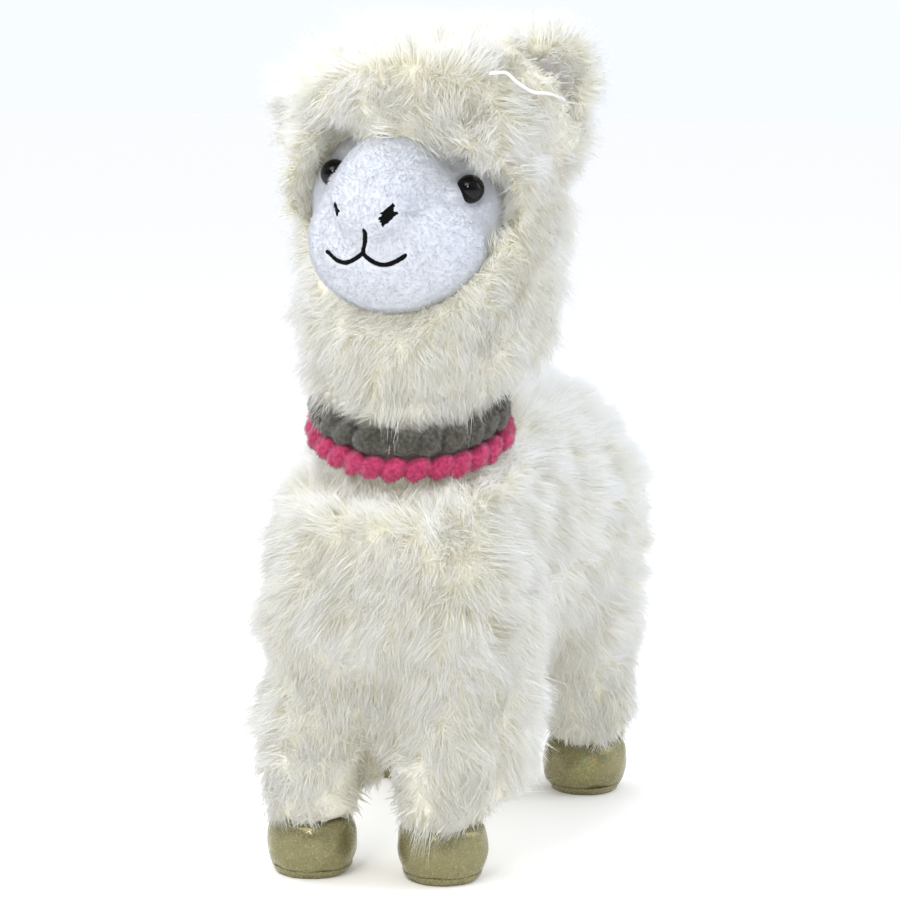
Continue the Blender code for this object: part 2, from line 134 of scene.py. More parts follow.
def ramp(tree, source, stops):
    """A colour ramp over a value, from (position, hex colour) stops."""
    made = add(tree, 'ShaderNodeValToRGB', links={"Fac": source})
    while len(made.color_ramp.elements) < len(stops):
        made.color_ramp.elements.new(0.5)
    for element, (position, colour) in zip(made.color_ramp.elements, stops):
        element.position = position
        element.color = linear(colour)
    return made.outputs["Color"]


def object_place(tree):
    """Where a point lies on the object in metres, so that patterns keep their real size."""
    return add(tree, 'ShaderNodeTexCoord').outputs["Object"]


def mottled(tree, shader, size, dark, light, detail=3.0, roughness=0.5):
    """Colours the shader by a noise of some size, and gives the noise back."""
    grain = add(tree, 'ShaderNodeTexNoise', {"Scale": 1 / size, "Detail": detail,
                                             "Roughness": roughness}, {"Vector": object_place(tree)})
    tree.links.new(ramp(tree, grain.outputs["Fac"], [(0.3, dark), (0.7, light)]),
                   shader.inputs["Base Color"])
    return grain.outputs["Fac"]


def dented(tree, shader, height, strength, depth):
    """Lets a pattern's height dent the surface."""
    dent = add(tree, 'ShaderNodeBump', {"Strength": strength, "Distance": depth}, {"Height": height})
    tree.links.new(dent.outputs["Normal"], shader.inputs["Normal"])


def place(piece, body="root"):
    """Hands a finished piece to the scene and lets it ride on the toy."""
    if piece.name not in bpy.context.scene.collection.objects:
        bpy.context.scene.collection.objects.link(piece)
    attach(piece, body)
    return piece


print("helpers ready")

# %% [markdown]
# ## Nylon string
# A short end of white nylon cord sticks out of the fur beside the ear, where a shop would hang a paper
# tag. It is a real free cord, so it is a round tube along the same points as the solid one, on a
# smooth run between them. The tube and the run serve other pieces later on.

# %% Runs and tubes


def mesh_of(bm, name="shape"):
    bmesh.ops.recalc_face_normals(bm, faces=bm.faces)
    mesh = bpy.data.meshes.new(name)
    bm.to_mesh(mesh)
    bm.free()
    return mesh


def smooth_run(points, steps):
    """Points on a smooth curve, from given ones with one more before and after it."""
    run = []
    for a, b, c, d in zip(points, points[1:], points[2:], points[3:]):
        for i in range(steps):
            t = i / steps
            run.append(0.5 * ((2 * b) + (c - a) * t + (2 * a - 5 * b + 4 * c - d) * t ** 2
                              + (3 * b - a - 3 * c + d) * t ** 3))
    return run + [points[-2]]


def tube(bm, frames, sides):
    """A closed tube, extruded ring by ring from one frame to the next."""
    cap = bmesh.ops.create_circle(bm, cap_ends=True, segments=sides, radius=1,
                                  matrix=frames[0])["verts"][0].link_faces[0]
    ring = cap.edges[:]
    for before, after in zip(frames, frames[1:]):
        grown = bmesh.ops.extrude_edge_only(bm, edges=ring)["geom"]
        ring = [item for item in grown if isinstance(item, bmesh.types.BMEdge) and item.is_boundary]
        moving = [item for item in grown if isinstance(item, bmesh.types.BMVert)]
        bmesh.ops.transform(bm, matrix=after @ before.inverted(), verts=moving)
    bmesh.ops.holes_fill(bm, edges=ring)


def cord_mesh(points, radius, sides=14):
    """A round tube along some points, with rounded ends."""
    ways = [(after - before).normalized() for before, after in
            zip([points[0]] + points, points[1:] + [points[-1]])]
    rounding = [(0.35, -0.9), (0.8, -0.5)]
    stops = [(points[0] + ways[0] * radius * back, ways[0], radius * size) for size, back in rounding]
    stops += [(point, way, radius) for point, way in zip(points, ways)]
    stops += [(points[-1] - ways[-1] * radius * back, ways[-1], radius * size)
              for size, back in reversed(rounding)]
    bm = bmesh.new()
    tube(bm, [Matrix.Translation(where) @ way.to_track_quat('Z', 'Y').to_matrix().to_4x4()
              @ Matrix.Diagonal((size, size, 1, 1)) for where, way, size in stops], sides)
    mesh = mesh_of(bm, "string")
    mesh.shade_smooth()
    return mesh


print("tube tools ready")

# %% String
STRING_DIAMETER = 1.2 * MM
ROUTE_STEPS = 4              # points on the run for each listed one
STRING_ROUTE = [
    # from the ear's fur to the free end, in millimetres
    (64.0, -49.2, 301.3),
    (60.0, -57.2, 303.8),
    (55.8, -63.8, 304.6),
    (50.6, -68.4, 308.6),
    (47.2, -71.0, 312.0),
    (43.0, -76.8, 311.8),
]

knots = [Vector(point) * MM for point in STRING_ROUTE]
route = smooth_run([2 * knots[0] - knots[1]] + knots + [2 * knots[-1] - knots[-2]], ROUTE_STEPS)
string = place(bpy.data.objects.new("string", cord_mesh(route, STRING_DIAMETER / 2)))
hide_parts("tag_string")

# %% [markdown]
# ## Twisted thread
# Cord and thread are plies twisted round each other, which show as slanting ridges. Nylon is smooth
# and slightly glossy. The same finish with other values serves the black thread of the face.

# %% Twisted thread
WAVE = 2 * math.pi / 10      # a wave pattern of scale 1 repeats after this length
STRING_TWIST = 1.5 * MM


def thread_finish(name, colour, twist, strength, **sockets):
    """Twisted thread, whose plies cross it at a slant, one twist apart."""
    made, tree, shader = finish_of(name, Base_Color=linear(colour), **sockets)
    plies = add(tree, 'ShaderNodeTexWave', {"Scale": WAVE / twist, "bands_direction": 'DIAGONAL'},
                {"Vector": object_place(tree)})
    dented(tree, shader, plies.outputs["Fac"], strength, 0.1 * MM)
    return made


nylon = thread_finish("nylon cord, twisted", "F7F9FC", STRING_TWIST, 0.25, Roughness=0.38, IOR=1.53)
string.data.materials.append(nylon)
print("string finished")

# %% [markdown]
# ## The cloth under the pile
# Under long fur there is a knitted backing, cut in panels, sewn and stuffed. Here one skin stands for
# all the furry solids, which reach out to the tips of the coat. Their meshes are joined, remeshed into
# one closed surface, and pushed inwards by the depth of the coat in small steps with smoothing
# between, so that the offset never folds over itself. Smoothing shrinks round ends such as the crown
# and the ears, so what shrank too far is let out again.

# %% Mesh tools
COAT_DEPTH = 8.5 * MM
EAR_DEPTH = 4.5 * MM
PUSH_ROUNDS = 5
LET_OUT = 0.85               # how much of the shrinking by smoothing is undone
FLEECE_NODES = ["head", "forelock", "neck", "trunk", "tail"]
FLEECE_NODES += ["leg_front_left", "leg_front_right", "leg_rear_left", "leg_rear_right"]
HOOF_ENDS = ["front_left", "front_right", "rear_left", "rear_right"]


def modified(mesh, steps):
    """A mesh after modifiers, each given as (kind, settings)."""
    holder = bpy.data.objects.new("holder", mesh)
    bpy.context.scene.collection.objects.link(holder)
    for kind, settings in steps:
        step = holder.modifiers.new(kind, kind)
        for setting, value in settings.items():
            setattr(step, setting, value)
    depsgraph = bpy.context.evaluated_depsgraph_get()
    depsgraph.update()
    result = bpy.data.meshes.new_from_object(holder.evaluated_get(depsgraph))
    bpy.data.objects.remove(holder, do_unlink=True)
    return result


def copies(nodes):
    """The solids of some nodes in one bmesh, with their loose triangles merged."""
    bm = bmesh.new()
    for node in nodes:
        bm.from_mesh(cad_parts[node].data)
    bmesh.ops.remove_doubles(bm, verts=bm.verts, dist=0.01 * MM)
    return bm


def pushed_in(bm, depth, voxel):
    """A closed surface that lies a depth inside some solids."""
    outer = modified(mesh_of(bm), [('REMESH', {"mode": 'VOXEL', "voxel_size": voxel})])
    inner = modified(outer, PUSH_ROUNDS * [
        ('DISPLACE', {"strength": -depth / PUSH_ROUNDS, "mid_level": 0}),
        ('SMOOTH', {"factor": 0.5, "iterations": 3})])
    surface = BVHTree.FromPolygons([vert.co for vert in outer.vertices],
                                   [face.vertices for face in outer.polygons])
    for vert in inner.vertices:
        nearest, _, _, gap = surface.find_nearest(vert.co)
        if depth < gap < 4 * depth:
            vert.co += (nearest - vert.co) / gap * (gap - depth) * LET_OUT
    return inner


print("coat depth in mm:", COAT_DEPTH / MM)

# %% [markdown]
# ## Where the collar hangs
# The collar is a loose band. It hangs lower in front than at the nape, and lowest a little to the
# toy's left. The cloth of the neck has to pass through it, so its frame is settled before the cloth.

# %% Collar frame
COLLAR_TILT = math.radians(18)
COLLAR_LOWEST = math.radians(18)     # how far its lowest point lies round to the toy's left
COLLAR_RAISED = 1.5 * MM


def middle_of(node):
    low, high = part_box(node)
    return (low + high) / 2


collar_middle = (middle_of("collar_grey") + middle_of("collar_pink")) / 2
collar_hinge = Vector((math.cos(COLLAR_LOWEST), math.sin(COLLAR_LOWEST), 0))
collar_frame = (Matrix.Translation(collar_middle + Vector((0, 0, COLLAR_RAISED)))
                @ Matrix.Rotation(COLLAR_TILT, 4, collar_hinge))
print("middle of the collar, in mm:", [round(value / MM, 1) for value in collar_frame.translation])

# %% [markdown]
# ## Legs apart
# The coats of two neighbouring feet touch, but the stuffed legs inside them don't. The solids are the
# coats, so their copies are parted a little below the crotch, more and more towards the feet, before
# the cloth is made from them. The solid of the face is joined in as well, only to fill its pocket.

# %% Part the legs
LEG_PARTING = 3 * MM         # half of the gap between the solids of two feet
PARTING_TOP, PARTING_FADE = 62 * MM, 18 * MM
SKIN_GRAIN = 3 * MM          # the mesh size that the cloth is remeshed at

legs = [node for node in FLEECE_NODES if node.startswith("leg")]
bm = copies(legs)
bmesh.ops.subdivide_edges(bm, edges=bm.edges[:], cuts=3, use_grid_fill=True)
for vert in bm.verts:
    parting = LEG_PARTING * min(max((PARTING_TOP - vert.co.z) / PARTING_FADE, 0), 1)
    vert.co.x = math.copysign(max(abs(vert.co.x), parting), vert.co.x)
bm.from_mesh(mesh_of(copies([node for node in FLEECE_NODES + ["face"] if node not in legs])))
body = pushed_in(bm, COAT_DEPTH, SKIN_GRAIN)
print("faces of the cloth before the plugs:", len(body.polygons))

# %% [markdown]
# ## Ankles, neck, and room for the face
# Round plugs at the ankles and under the collar keep the cloth meeting the hooves and the neckband. A
# shallow bowl round the face leaves room for the pile there to stand up beside the velour, and a
# fold lies where the chest's cloth hangs over the toy's right front leg.

# %% Skin
NECK_CORE = 30 * MM
ANKLE_FOOT, ANKLE_TOP = 15 * MM, 19 * MM     # radii


def plugs(bm):
    """The ankles inside the hooves' tops, and the neck inside the collar."""
    for end in HOOF_ENDS:
        middle, top = middle_of(f"hoof_{end}"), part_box(f"hoof_{end}")[1].z
        where = Matrix.Translation((middle.x, middle.y, top + 12 * MM))
        bmesh.ops.create_cone(bm, cap_ends=True, segments=24, radius1=ANKLE_FOOT, radius2=ANKLE_TOP,
                              depth=26 * MM, matrix=where)
    bmesh.ops.create_cone(bm, cap_ends=True, segments=32, radius1=NECK_CORE, radius2=NECK_CORE,
                          depth=34 * MM, matrix=collar_frame)


bm = bmesh.new()
bm.from_mesh(body)
plugs(bm)
skin_mesh = modified(mesh_of(bm), [
    ('REMESH', {"mode": 'VOXEL', "voxel_size": SKIN_GRAIN}),
    ('SMOOTH', {"factor": 0.5, "iterations": 4}),
    ('TRIANGULATE', {}),
])
print("skin triangles:", len(skin_mesh.polygons))

# %% Bowl and fold
BOWL_BACK = -58 * MM         # how far forward the cloth comes at the face's edge
BOWL_RADIUS = 43 * MM
BOWL_SLOPE = 1.5
BOWL_TOP, BOWL_FOOT = 284 * MM, 236 * MM     # the fringe and the chin are left as they are

face_middle, face_size = middle_of("face"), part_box("face")[1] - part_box("face")[0]
for vert in skin_mesh.vertices:
    radius = math.hypot(vert.co.x - face_middle.x, vert.co.z - face_middle.z)
    front = BOWL_BACK - BOWL_SLOPE * (radius - BOWL_RADIUS)
    share = min((BOWL_TOP - vert.co.z) / (10 * MM), (vert.co.z - BOWL_FOOT) / (16 * MM), 1)
    if vert.co.y < front and radius < BOWL_RADIUS + 15 * MM and share > 0:
        vert.co.y += (front - vert.co.y) * share

FOLD_DEPTH = 6 * MM
FOLD_MIDDLE, FOLD_HALF = (-30 * MM, 78 * MM), (24 * MM, 15 * MM)     # across and up
for vert in skin_mesh.vertices:
    across = (vert.co.x - FOLD_MIDDLE[0]) / FOLD_HALF[0]
    rise = (vert.co.z - FOLD_MIDDLE[1]) / FOLD_HALF[1]
    if vert.co.y < face_middle.y:
        vert.co.y += FOLD_DEPTH * math.exp(-across ** 2 - rise ** 2)
skin = bpy.data.objects.new("fleece_backing", skin_mesh)
skin_mesh.shade_smooth()
place(skin)
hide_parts(*FLEECE_NODES)
print("room for the face, in mm:", [round(side / MM) for side in face_size])

# %% [markdown]
# ## Ears and UV maps
# The cloth of an ear is made like that of the body, with less depth, as its coat is thinner. Every
# skin is then laid flat on a UV map in islands, so that each tuft can take its place on it.

# %% Ear skins
ear_skins = {}
for side in ("left", "right"):
    ear = modified(pushed_in(copies([f"ear_{side}"]), EAR_DEPTH, 1.6 * MM), [('TRIANGULATE', {})])
    ear.shade_smooth()
    ear_skins[side] = place(bpy.data.objects.new(f"ear_{side}_backing", ear))
    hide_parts(f"ear_{side}")
    print(side, "ear triangles:", len(ear.polygons))

# %% Unwrap the skins
UNWRAP_ANGLE = math.radians(66)


def unwrap(piece):
    """Lays the piece's own shape flat on a UV map, in islands."""
    piece.data.uv_layers.new(name="OFBake")
    bpy.ops.object.select_all(action='DESELECT')
    bpy.context.view_layer.objects.active = piece
    piece.select_set(True)
    bpy.ops.object.mode_set(mode='EDIT')
    bpy.ops.mesh.select_all(action='SELECT')
    bpy.ops.uv.smart_project(angle_limit=UNWRAP_ANGLE, island_margin=0.002)
    bpy.ops.object.mode_set(mode='OBJECT')


for piece in (skin, *ear_skins.values()):
    unwrap(piece)
print("unwrapped")

# %% [markdown]
# ## The pile
# Long plush pile is thousands of fine polyester fibres that gather into locks. Hair curves would be
# lost when the model is exported, so each tuft is a tiny closed mesh: one needle with three sides,
# bent at a ring, and repeated through arrays. Most tufts of a lock are straight needles with fewer
# faces, which fill it up. Their points on the backing are drawn at random from its triangles.

# %% One tuft
BEND = 0.5           # how far along the tuft its ring of bending points lies


def tuft_shape(bend):
    """A three-sided needle: its points as (across, through, along), and its triangles."""
    bm = bmesh.new()
    bmesh.ops.create_cone(bm, cap_ends=True, segments=3, radius1=1, radius2=0,
                          depth=1, matrix=Matrix.Translation((0, 0, 0.5)))
    bmesh.ops.remove_doubles(bm, verts=bm.verts, dist=1e-5)
    if bend:
        everything = bm.verts[:] + bm.edges[:] + bm.faces[:]
        bmesh.ops.bisect_plane(bm, geom=everything, plane_co=(0, 0, bend), plane_no=(0, 0, 1))
        ring = [vert for vert in bm.verts if 0.1 < vert.co.z < 0.9]
        bmesh.ops.scale(bm, vec=(0.95 / (1 - bend), 0.95 / (1 - bend), 1), verts=ring)
    bmesh.ops.triangulate(bm, faces=bm.faces)
    bmesh.ops.recalc_face_normals(bm, faces=bm.faces)
    bm.verts.index_update()
    points = np.array([vert.co for vert in bm.verts])
    triangles = np.array([[vert.index for vert in face.verts] for face in bm.faces])
    bm.free()
    return points, triangles


NEEDLE = tuft_shape(BEND)
SHORT_NEEDLE = tuft_shape(None)
print("a tuft has", len(NEEDLE[1]), "triangles, a short one", len(SHORT_NEEDLE[1]))

# %% Array tools
RUFFLE_WAVES = 8             # waves in random directions, whose sum is scaled to about one


def unit(vectors):
    return vectors / np.maximum(np.linalg.norm(vectors, axis=-1, keepdims=True), 1e-9)


def along_surface(vectors, normals):
    """What is left of some directions when they are laid flat on a surface."""
    return unit(vectors - (vectors * normals).sum(-1, keepdims=True) * normals)


def ruffle(points, size, seed):
    """A smooth random direction at each point, which changes over a size in metres."""
    rng = np.random.default_rng(seed)
    total = np.zeros_like(points)
    for _ in range(RUFFLE_WAVES):
        wave = rng.normal(size=3)
        wave *= 2 * math.pi / size / np.linalg.norm(wave)
        total += np.sin(points @ wave + rng.uniform(0, 2 * math.pi))[:, None] * rng.normal(size=3)
    return total / 2.8


print("array tools ready")

# %% Cloth to draw roots from


class Cloth:
    """A skin's triangles as arrays, from which roots are drawn at random."""

    def __init__(self, piece):
        mesh = piece.data
        points = np.empty(len(mesh.vertices) * 3)
        mesh.vertices.foreach_get("co", points)
        corners = np.empty(len(mesh.loops), int)
        mesh.loops.foreach_get("vertex_index", corners)
        normals = np.empty(len(mesh.vertices) * 3)
        mesh.vertices.foreach_get("normal", normals)
        uvs = np.empty(len(mesh.loops) * 2)
        mesh.uv_layers["OFBake"].uv.foreach_get("vector", uvs)
        self.corners = corners.reshape(-1, 3)
        self.points = points.reshape(-1, 3)
        self.normals = normals.reshape(-1, 3)
        self.uvs = uvs.reshape(-1, 3, 2)
        a, b, c = (self.points[self.corners[:, i]] for i in range(3))
        self.areas = np.linalg.norm(np.cross(b - a, c - a), axis=1) / 2

    def draw(self, count, rng):
        """Points, normals and UV places, spread evenly by area."""
        chosen = rng.choice(len(self.areas), size=count, p=self.areas / self.areas.sum())
        weights = rng.dirichlet((1, 1, 1), size=count)[:, :, None]
        points = (self.points[self.corners[chosen]] * weights).sum(1)
        normals = unit((self.normals[self.corners[chosen]] * weights).sum(1))
        return points, normals, (self.uvs[chosen] * weights).sum(1)


rng = np.random.default_rng(20)
cloth = Cloth(skin)
print("cloth in square centimetres:", round(cloth.areas.sum() * 1e4))

# %% [markdown]
# ## One mesh from many tufts
# Thousands of tufts are joined in one go through arrays. Each point keeps how far along its tuft it
# lies and the tint of its tuft, which the finish reads. On the UV map a tuft is a tiny patch at its
# root, so that it takes the skin's colour there.

# %% Joined mesh
PATCH = 0.003                # of a tuft on the UV map, as a share of the whole map


def joined_mesh(name, shape, points, uvs, along, tint, facing):
    """One mesh of many tufts, from points of shape (tufts, points of one tuft, 3).

    The facing is the normal that each point is shaded with. It lies between the tuft's own and the
    coat's, which spreads the light over a lock as fine fibres do.
    """
    template, triangles = shape
    tufts, per_tuft = points.shape[:2]
    faces = (triangles[None] + np.arange(tufts)[:, None, None] * per_tuft).reshape(-1)
    mesh = bpy.data.meshes.new(name)
    mesh.vertices.add(tufts * per_tuft)
    mesh.vertices.foreach_set("co", points.reshape(-1))
    mesh.loops.add(len(faces))
    mesh.loops.foreach_set("vertex_index", faces)
    mesh.polygons.add(len(faces) // 3)
    mesh.polygons.foreach_set("loop_start", np.arange(0, len(faces), 3))
    mesh.update(calc_edges=True)
    layer = mesh.uv_layers.new(name="OFBake")
    patch = uvs[:, None] + template[None, :, (0, 2)] * (PATCH / 2, PATCH)
    layer.uv.foreach_set("vector", patch.reshape(-1, 2)[faces].reshape(-1))
    for label, values in (("along", along), ("tint", tint)):
        made = mesh.attributes.new(label, 'FLOAT', 'POINT')
        made.data.foreach_set("value", np.broadcast_to(values, (tufts, per_tuft)).reshape(-1))
    mesh.shade_smooth()
    mesh.normals_split_custom_set_from_vertices(facing.reshape(-1, 3))
    return bpy.data.objects.new(name, mesh)


print("patch on the UV map:", PATCH)

# %% [markdown]
# ## Locks
# Locks give the look, so tufts are grown lock by lock: the roots spread out over the backing, and the
# tips lean together. A tuft first rises steeply and then bends over. Its shading keeps some of its own
# roundness, so that single tufts still catch the light. The pile's tint is painted warmer and cooler in
# random patches of a few centimetres, a painted shade that stands for the shade between locks. Tips are
# clipped to a box a little larger than the toy's own, whose bottom lies a little above the floor.

# %% Locks
BENT_TUFTS, FINE_TUFTS = 9, 32       # in one lock
STRAY = 0.09                 # how much a tuft's own direction is off its lock's
TINT_SIZE = 30 * MM          # of the patches of warmer and cooler pile
TINT_SHARES = 0.6, 0.2, 0.2  # of the patch, the lock and the tuft
FLUFF = 3 * MM               # how far single tips may stand past the whole toy's box
TIPS_LOW = np.array(CAD_LOW) - (FLUFF, FLUFF, -FLUFF)
TIPS_HIGH = np.array(CAD_HIGH) + (FLUFF, FLUFF, 2 * FLUFF)


def grow(name, roots, normals, uvs, lie, length, width, lift, gather, spread, rng,
         shape, per_lock, sunk=1.2 * MM, self_facing=3.0):
    """Locks of tufts. Roots, normals, UV places, lie and length are given lock by lock.

    The more a tuft is self facing, the more its own roundness shows in its shading.
    """
    locks = len(roots)
    across = unit(np.cross(lie, normals))
    angle = rng.uniform(0, 2 * math.pi, (locks, per_lock, 1))
    reach = np.sqrt(rng.uniform(0, 1, (locks, per_lock, 1))) * spread
    offset = reach * (np.cos(angle) * across[:, None] + np.sin(angle) * lie[:, None])
    size = (length[:, None, None] * rng.normal(1, 0.1, (locks, per_lock, 1)).clip(0.7, 1.25))
    stray = rng.normal(0, STRAY, (locks, per_lock, 3))
    up, flat = normals[:, None], lie[:, None]
    low, high = (np.broadcast_to(angle, locks)[:, None, None] for angle in lift)
    first = unit(up * np.sin(low) + flat * np.cos(low) + stray) * size * BEND
    second = unit(up * np.sin(high) + flat * np.cos(high) + stray * 1.6) * size * (1 - BEND)
    start = roots[:, None] + offset - up * sunk
    bend = start + first - offset * gather * 0.35
    tip = np.clip(start + first + second - offset * gather, TIPS_LOW, TIPS_HIGH)
    template = shape[0]
    along = template[:, 2]
    centre = np.where(along[None, None, :, None] < 0.25, start[:, :, None],
                      np.where(along[None, None, :, None] > 0.75, tip[:, :, None], bend[:, :, None]))
    way = unit(tip - start)
    side = unit(np.cross(way, up + 0.3 * rng.normal(size=(locks, per_lock, 3))))
    top = np.cross(way, side)
    thick = (width * rng.uniform(0.75, 1.25, (locks, per_lock, 1)) / 2)[:, :, None]
    round_off = (side[:, :, None] * template[None, None, :, 0:1]
                 + 0.6 * top[:, :, None] * template[None, None, :, 1:2])
    points = centre + thick * round_off
    facing = unit(up[:, :, None] + self_facing * (round_off + 0.6 * along[None, None, :, None]
                                                  * way[:, :, None]))
    # painted shade: the tint is warmer in random patches of a few centimetres, and by lock and by tuft,
    # standing for the shade between locks
    patchy = (0.5 + 0.4 * ruffle(roots, TINT_SIZE, 11)[:, :1]).clip(0, 1)
    parts = patchy, rng.uniform(0, 1, (locks, 1)), rng.uniform(0, 1, (locks, per_lock))
    tint = sum(share * part for share, part in zip(TINT_SHARES, parts)).reshape(-1, 1)
    return joined_mesh(name, shape, points.reshape(-1, len(template), 3),
                       np.repeat(uvs, per_lock, axis=0), along[None], tint, facing)


print("tufts in a lock:", BENT_TUFTS + FINE_TUFTS)

# %% [markdown]
# ## Where the locks grow
# Locks are rooted a few millimetres apart. A velour face, a tight collar and stuffed hooves have no
# pile under them, so no lock grows there. Each lock is told which solid it stands for by the nearest
# one, since the pile of the head, the legs and the back differs.

# %% Where each lock grows
LOCK_GAP = 3.6 * MM
LOCK_SPREAD = 4.4 * MM       # the radius that the roots of one lock fill
CROWDING = 4                 # points drawn for each place, before those too near are left out


def spaced(points, gap):
    """Which of some random points to keep so that none is nearer than a gap to another."""
    tree = KDTree(len(points))
    for index, point in enumerate(points):
        tree.insert(point, index)
    tree.balance()
    kept = np.ones(len(points), bool)
    for index, point in enumerate(points):
        if kept[index]:
            for _, other, _ in tree.find_range(point, gap):
                if other > index:
                    kept[other] = False
    return kept


candidates = int(cloth.areas.sum() / (LOCK_GAP ** 2) * CROWDING)
roots, root_normals, root_uvs = cloth.draw(candidates, rng)
kept = spaced([Vector(point) for point in roots], LOCK_GAP)
roots, root_normals, root_uvs = roots[kept], root_normals[kept], root_uvs[kept]
print("places for locks:", len(roots), "of", candidates)

# %% Which solid each lock stands for


def tree_of(nodes):
    bm = copies(nodes)
    tree = BVHTree.FromBMesh(bm)
    bm.free()
    return tree


node_trees = {node: tree_of([node]) for node in FLEECE_NODES}
face_tree = tree_of(["face"])
labels = []
for point in roots:
    near = {node: tree.find_nearest(Vector(point))[3] for node, tree in node_trees.items()}
    labels.append(min(near, key=near.get))
labels = np.array(labels)
print("locks by node:", {node: int((labels == node).sum()) for node in FLEECE_NODES})

# %% Keep the face, the collar and the hooves bare
AHEAD = Vector((0, -1, 0))
BEHIND_FACE = 5 * MM
COLLAR_BAND = 9.5 * MM       # half of the height that the collar covers
COLLAR_REST = 45 * MM        # nothing farther from its axis lies under it
FUR_FLOOR = 25 * MM          # lower down a foot's underside is bare, and 3 mm lower all of it


def under_face(point):
    """Whether a root on the front of the head lies under the velour face."""
    if point[1] > face_middle.y + face_size.y / 2 + BEHIND_FACE:
        return False
    return face_tree.ray_cast(Vector(point), AHEAD)[0] is not None


def bare_of_pile(points, normals):
    """Whether each root lies under the face, under the collar or on the sole of a foot."""
    in_collar = np.array([collar_frame.inverted() @ Vector(point) for point in points])
    round_neck = np.linalg.norm(in_collar[:, :2], axis=1) < COLLAR_REST
    collar_band = (np.abs(in_collar[:, 2]) < COLLAR_BAND) & round_neck
    covered = np.array([under_face(point) for point in points])
    underfoot = (points[:, 2] < FUR_FLOOR) & (normals[:, 2] < -0.5)
    return covered | collar_band | underfoot | (points[:, 2] < FUR_FLOOR - 3 * MM)


bare = bare_of_pile(roots, root_normals)
roots, root_normals, root_uvs, labels = (array[~bare] for array in
                                         (roots, root_normals, root_uvs, labels))
print("locks:", len(roots), "left bare:", int(bare.sum()))

# %% [markdown]
# ## The lie of the coat
# Pile falls under its own weight and is brushed by handling. It falls down the neck and legs, runs
# back along the spine, fans out from the crown, and sweeps forward over the brow as a fringe.
# Smooth random swirls over a few centimetres break it into ruffles. Beside the face it leans away.

# %% Lie
DOWN = np.array((0, 0, -1.0))
CROWN = Vector((8, -24, 331)) * MM
SWIRLS = {"head": 0.4, "forelock": 0.75, "trunk": 0.42, "tail": 0.3}
OTHER_SWIRL = 0.5            # of the neck and legs
SWIRL_SIZE, RUFFLE_SIZE, RUFFLE = 34 * MM, 13 * MM, 0.42
LOCK_JITTER = 0.16           # how much single locks turn away from their neighbours
FACE_REACH = 12 * MM         # how far off the pile still gives way to the face
FACE_LEAN = 1.1
FRINGE_FROM = 293 * MM       # over this height the pile hangs over the face and does not stand up


def near_face(points):
    """How near some points are to the face, from 0 to 1, and which way leads out from it."""
    gaps = np.array([face_tree.find_nearest(Vector(point))[3] for point in points])
    out = points - np.array(face_middle)
    out[:, 1] = 30 * MM
    out[:, 2] = np.where(out[:, 2] > 0, 0, out[:, 2])
    below = ((FRINGE_FROM - points[:, 2]) / (8 * MM)).clip(0, 1)
    return np.clip(1 - gaps / FACE_REACH, 0, 1) * below, unit(out)


def lie_for(label, points, normals):
    """Which way the pile runs at some points of a node, and how near each is to the face."""
    if label in ("head", "forelock"):
        outwards = points - np.array(CROWN)
        outwards[:, 2] = 0
        way = unit(outwards) * 0.9 + DOWN * 0.8
    elif label == "trunk":
        backwards = np.clip((points[:, 1:2] + 20 * MM) / (60 * MM), 0, 1) * np.array((0, 1.0, 0))
        way = DOWN * 0.9 + backwards
    elif label == "tail":
        way = DOWN + np.array((0, 0.6, 0))
    else:
        way = np.broadcast_to(DOWN, points.shape)
    way = way + SWIRLS.get(label, OTHER_SWIRL) * ruffle(points, SWIRL_SIZE, 3)
    way = way + RUFFLE * ruffle(points, RUFFLE_SIZE, 4)
    way += LOCK_JITTER * rng.normal(size=way.shape)
    closeness, out = near_face(points)
    return along_surface(way + FACE_LEAN * closeness[:, None] * out, normals), closeness


print("the pile gives way to the face within", round(FACE_REACH / MM), "mm")

# %% [markdown]
# ## Bunches
# Handling and static draw locks together, which is what makes a fleece look fluffy and not combed.
# Some locks, about a centimetre apart, are the middles of bunches. The locks round each one turn
# towards its tip, and they are shorter the farther out they stand, so hollows lie between bunches.

# %% Bunches
BUNCH_GAP = 9.5 * MM         # between the middles of two bunches
BUNCH_PULL = 1.3
BUNCH_DIP = 0.32             # how much shorter the pile is between bunches


def bunched(points, lie, normals, length):
    """Turns locks towards the tip of their bunch, and tells how far out in it each lock is."""
    centres = np.flatnonzero(spaced([Vector(point) for point in points], BUNCH_GAP))
    tree = KDTree(len(centres))
    for index, centre in enumerate(centres):
        tree.insert(points[centre], index)
    tree.balance()
    nearest = centres[[tree.find(Vector(point))[1] for point in points]]
    pull = points[nearest] + lie[nearest] * length[nearest][:, None] * 0.6 - points
    gap = np.linalg.norm(points[nearest] - points, axis=1) / BUNCH_GAP
    return along_surface(lie + BUNCH_PULL * pull / BUNCH_GAP, normals), gap.clip(0, 1)


print("bunches are", BUNCH_GAP / MM, "mm apart")

# %% [markdown]
# ## Room for the face and the ears' linings
# No pile may hang over the face, apart from the fringe on the brow, whose edge is an arch that falls
# away to the sides. Each lock near the face is tried at its full length and then shorter, until its
# tip, seen from in front, no longer lies over the face. Pile beside a lining is short as well.

# %% Room for the face
FRINGE_EDGE = 291 * MM       # where the fringe ends above the nose
FRINGE_CURVE = 14            # how fast its edge falls away to the sides, in metres for a metre squared
LINING_REACH, LEAST_AT_LINING = 18 * MM, 0.25
FACE_AROUND = 24 * MM        # no lock rooted farther off reaches the face
SIGHT_LINES = [Matrix.Rotation(math.radians(turn), 3, 'Z') @ Vector((0, 1, 0)) for turn in (-12, 0, 12)]
RISE_SHARE, RUN_SHARE = 0.5, 0.8         # of a tuft's length, away from the cloth and along it
SHARES = 1, 0.8, 0.6, 0.4

lining_trees = {side: tree_of([f"ear_lining_{side}"]) for side in ("left", "right")}


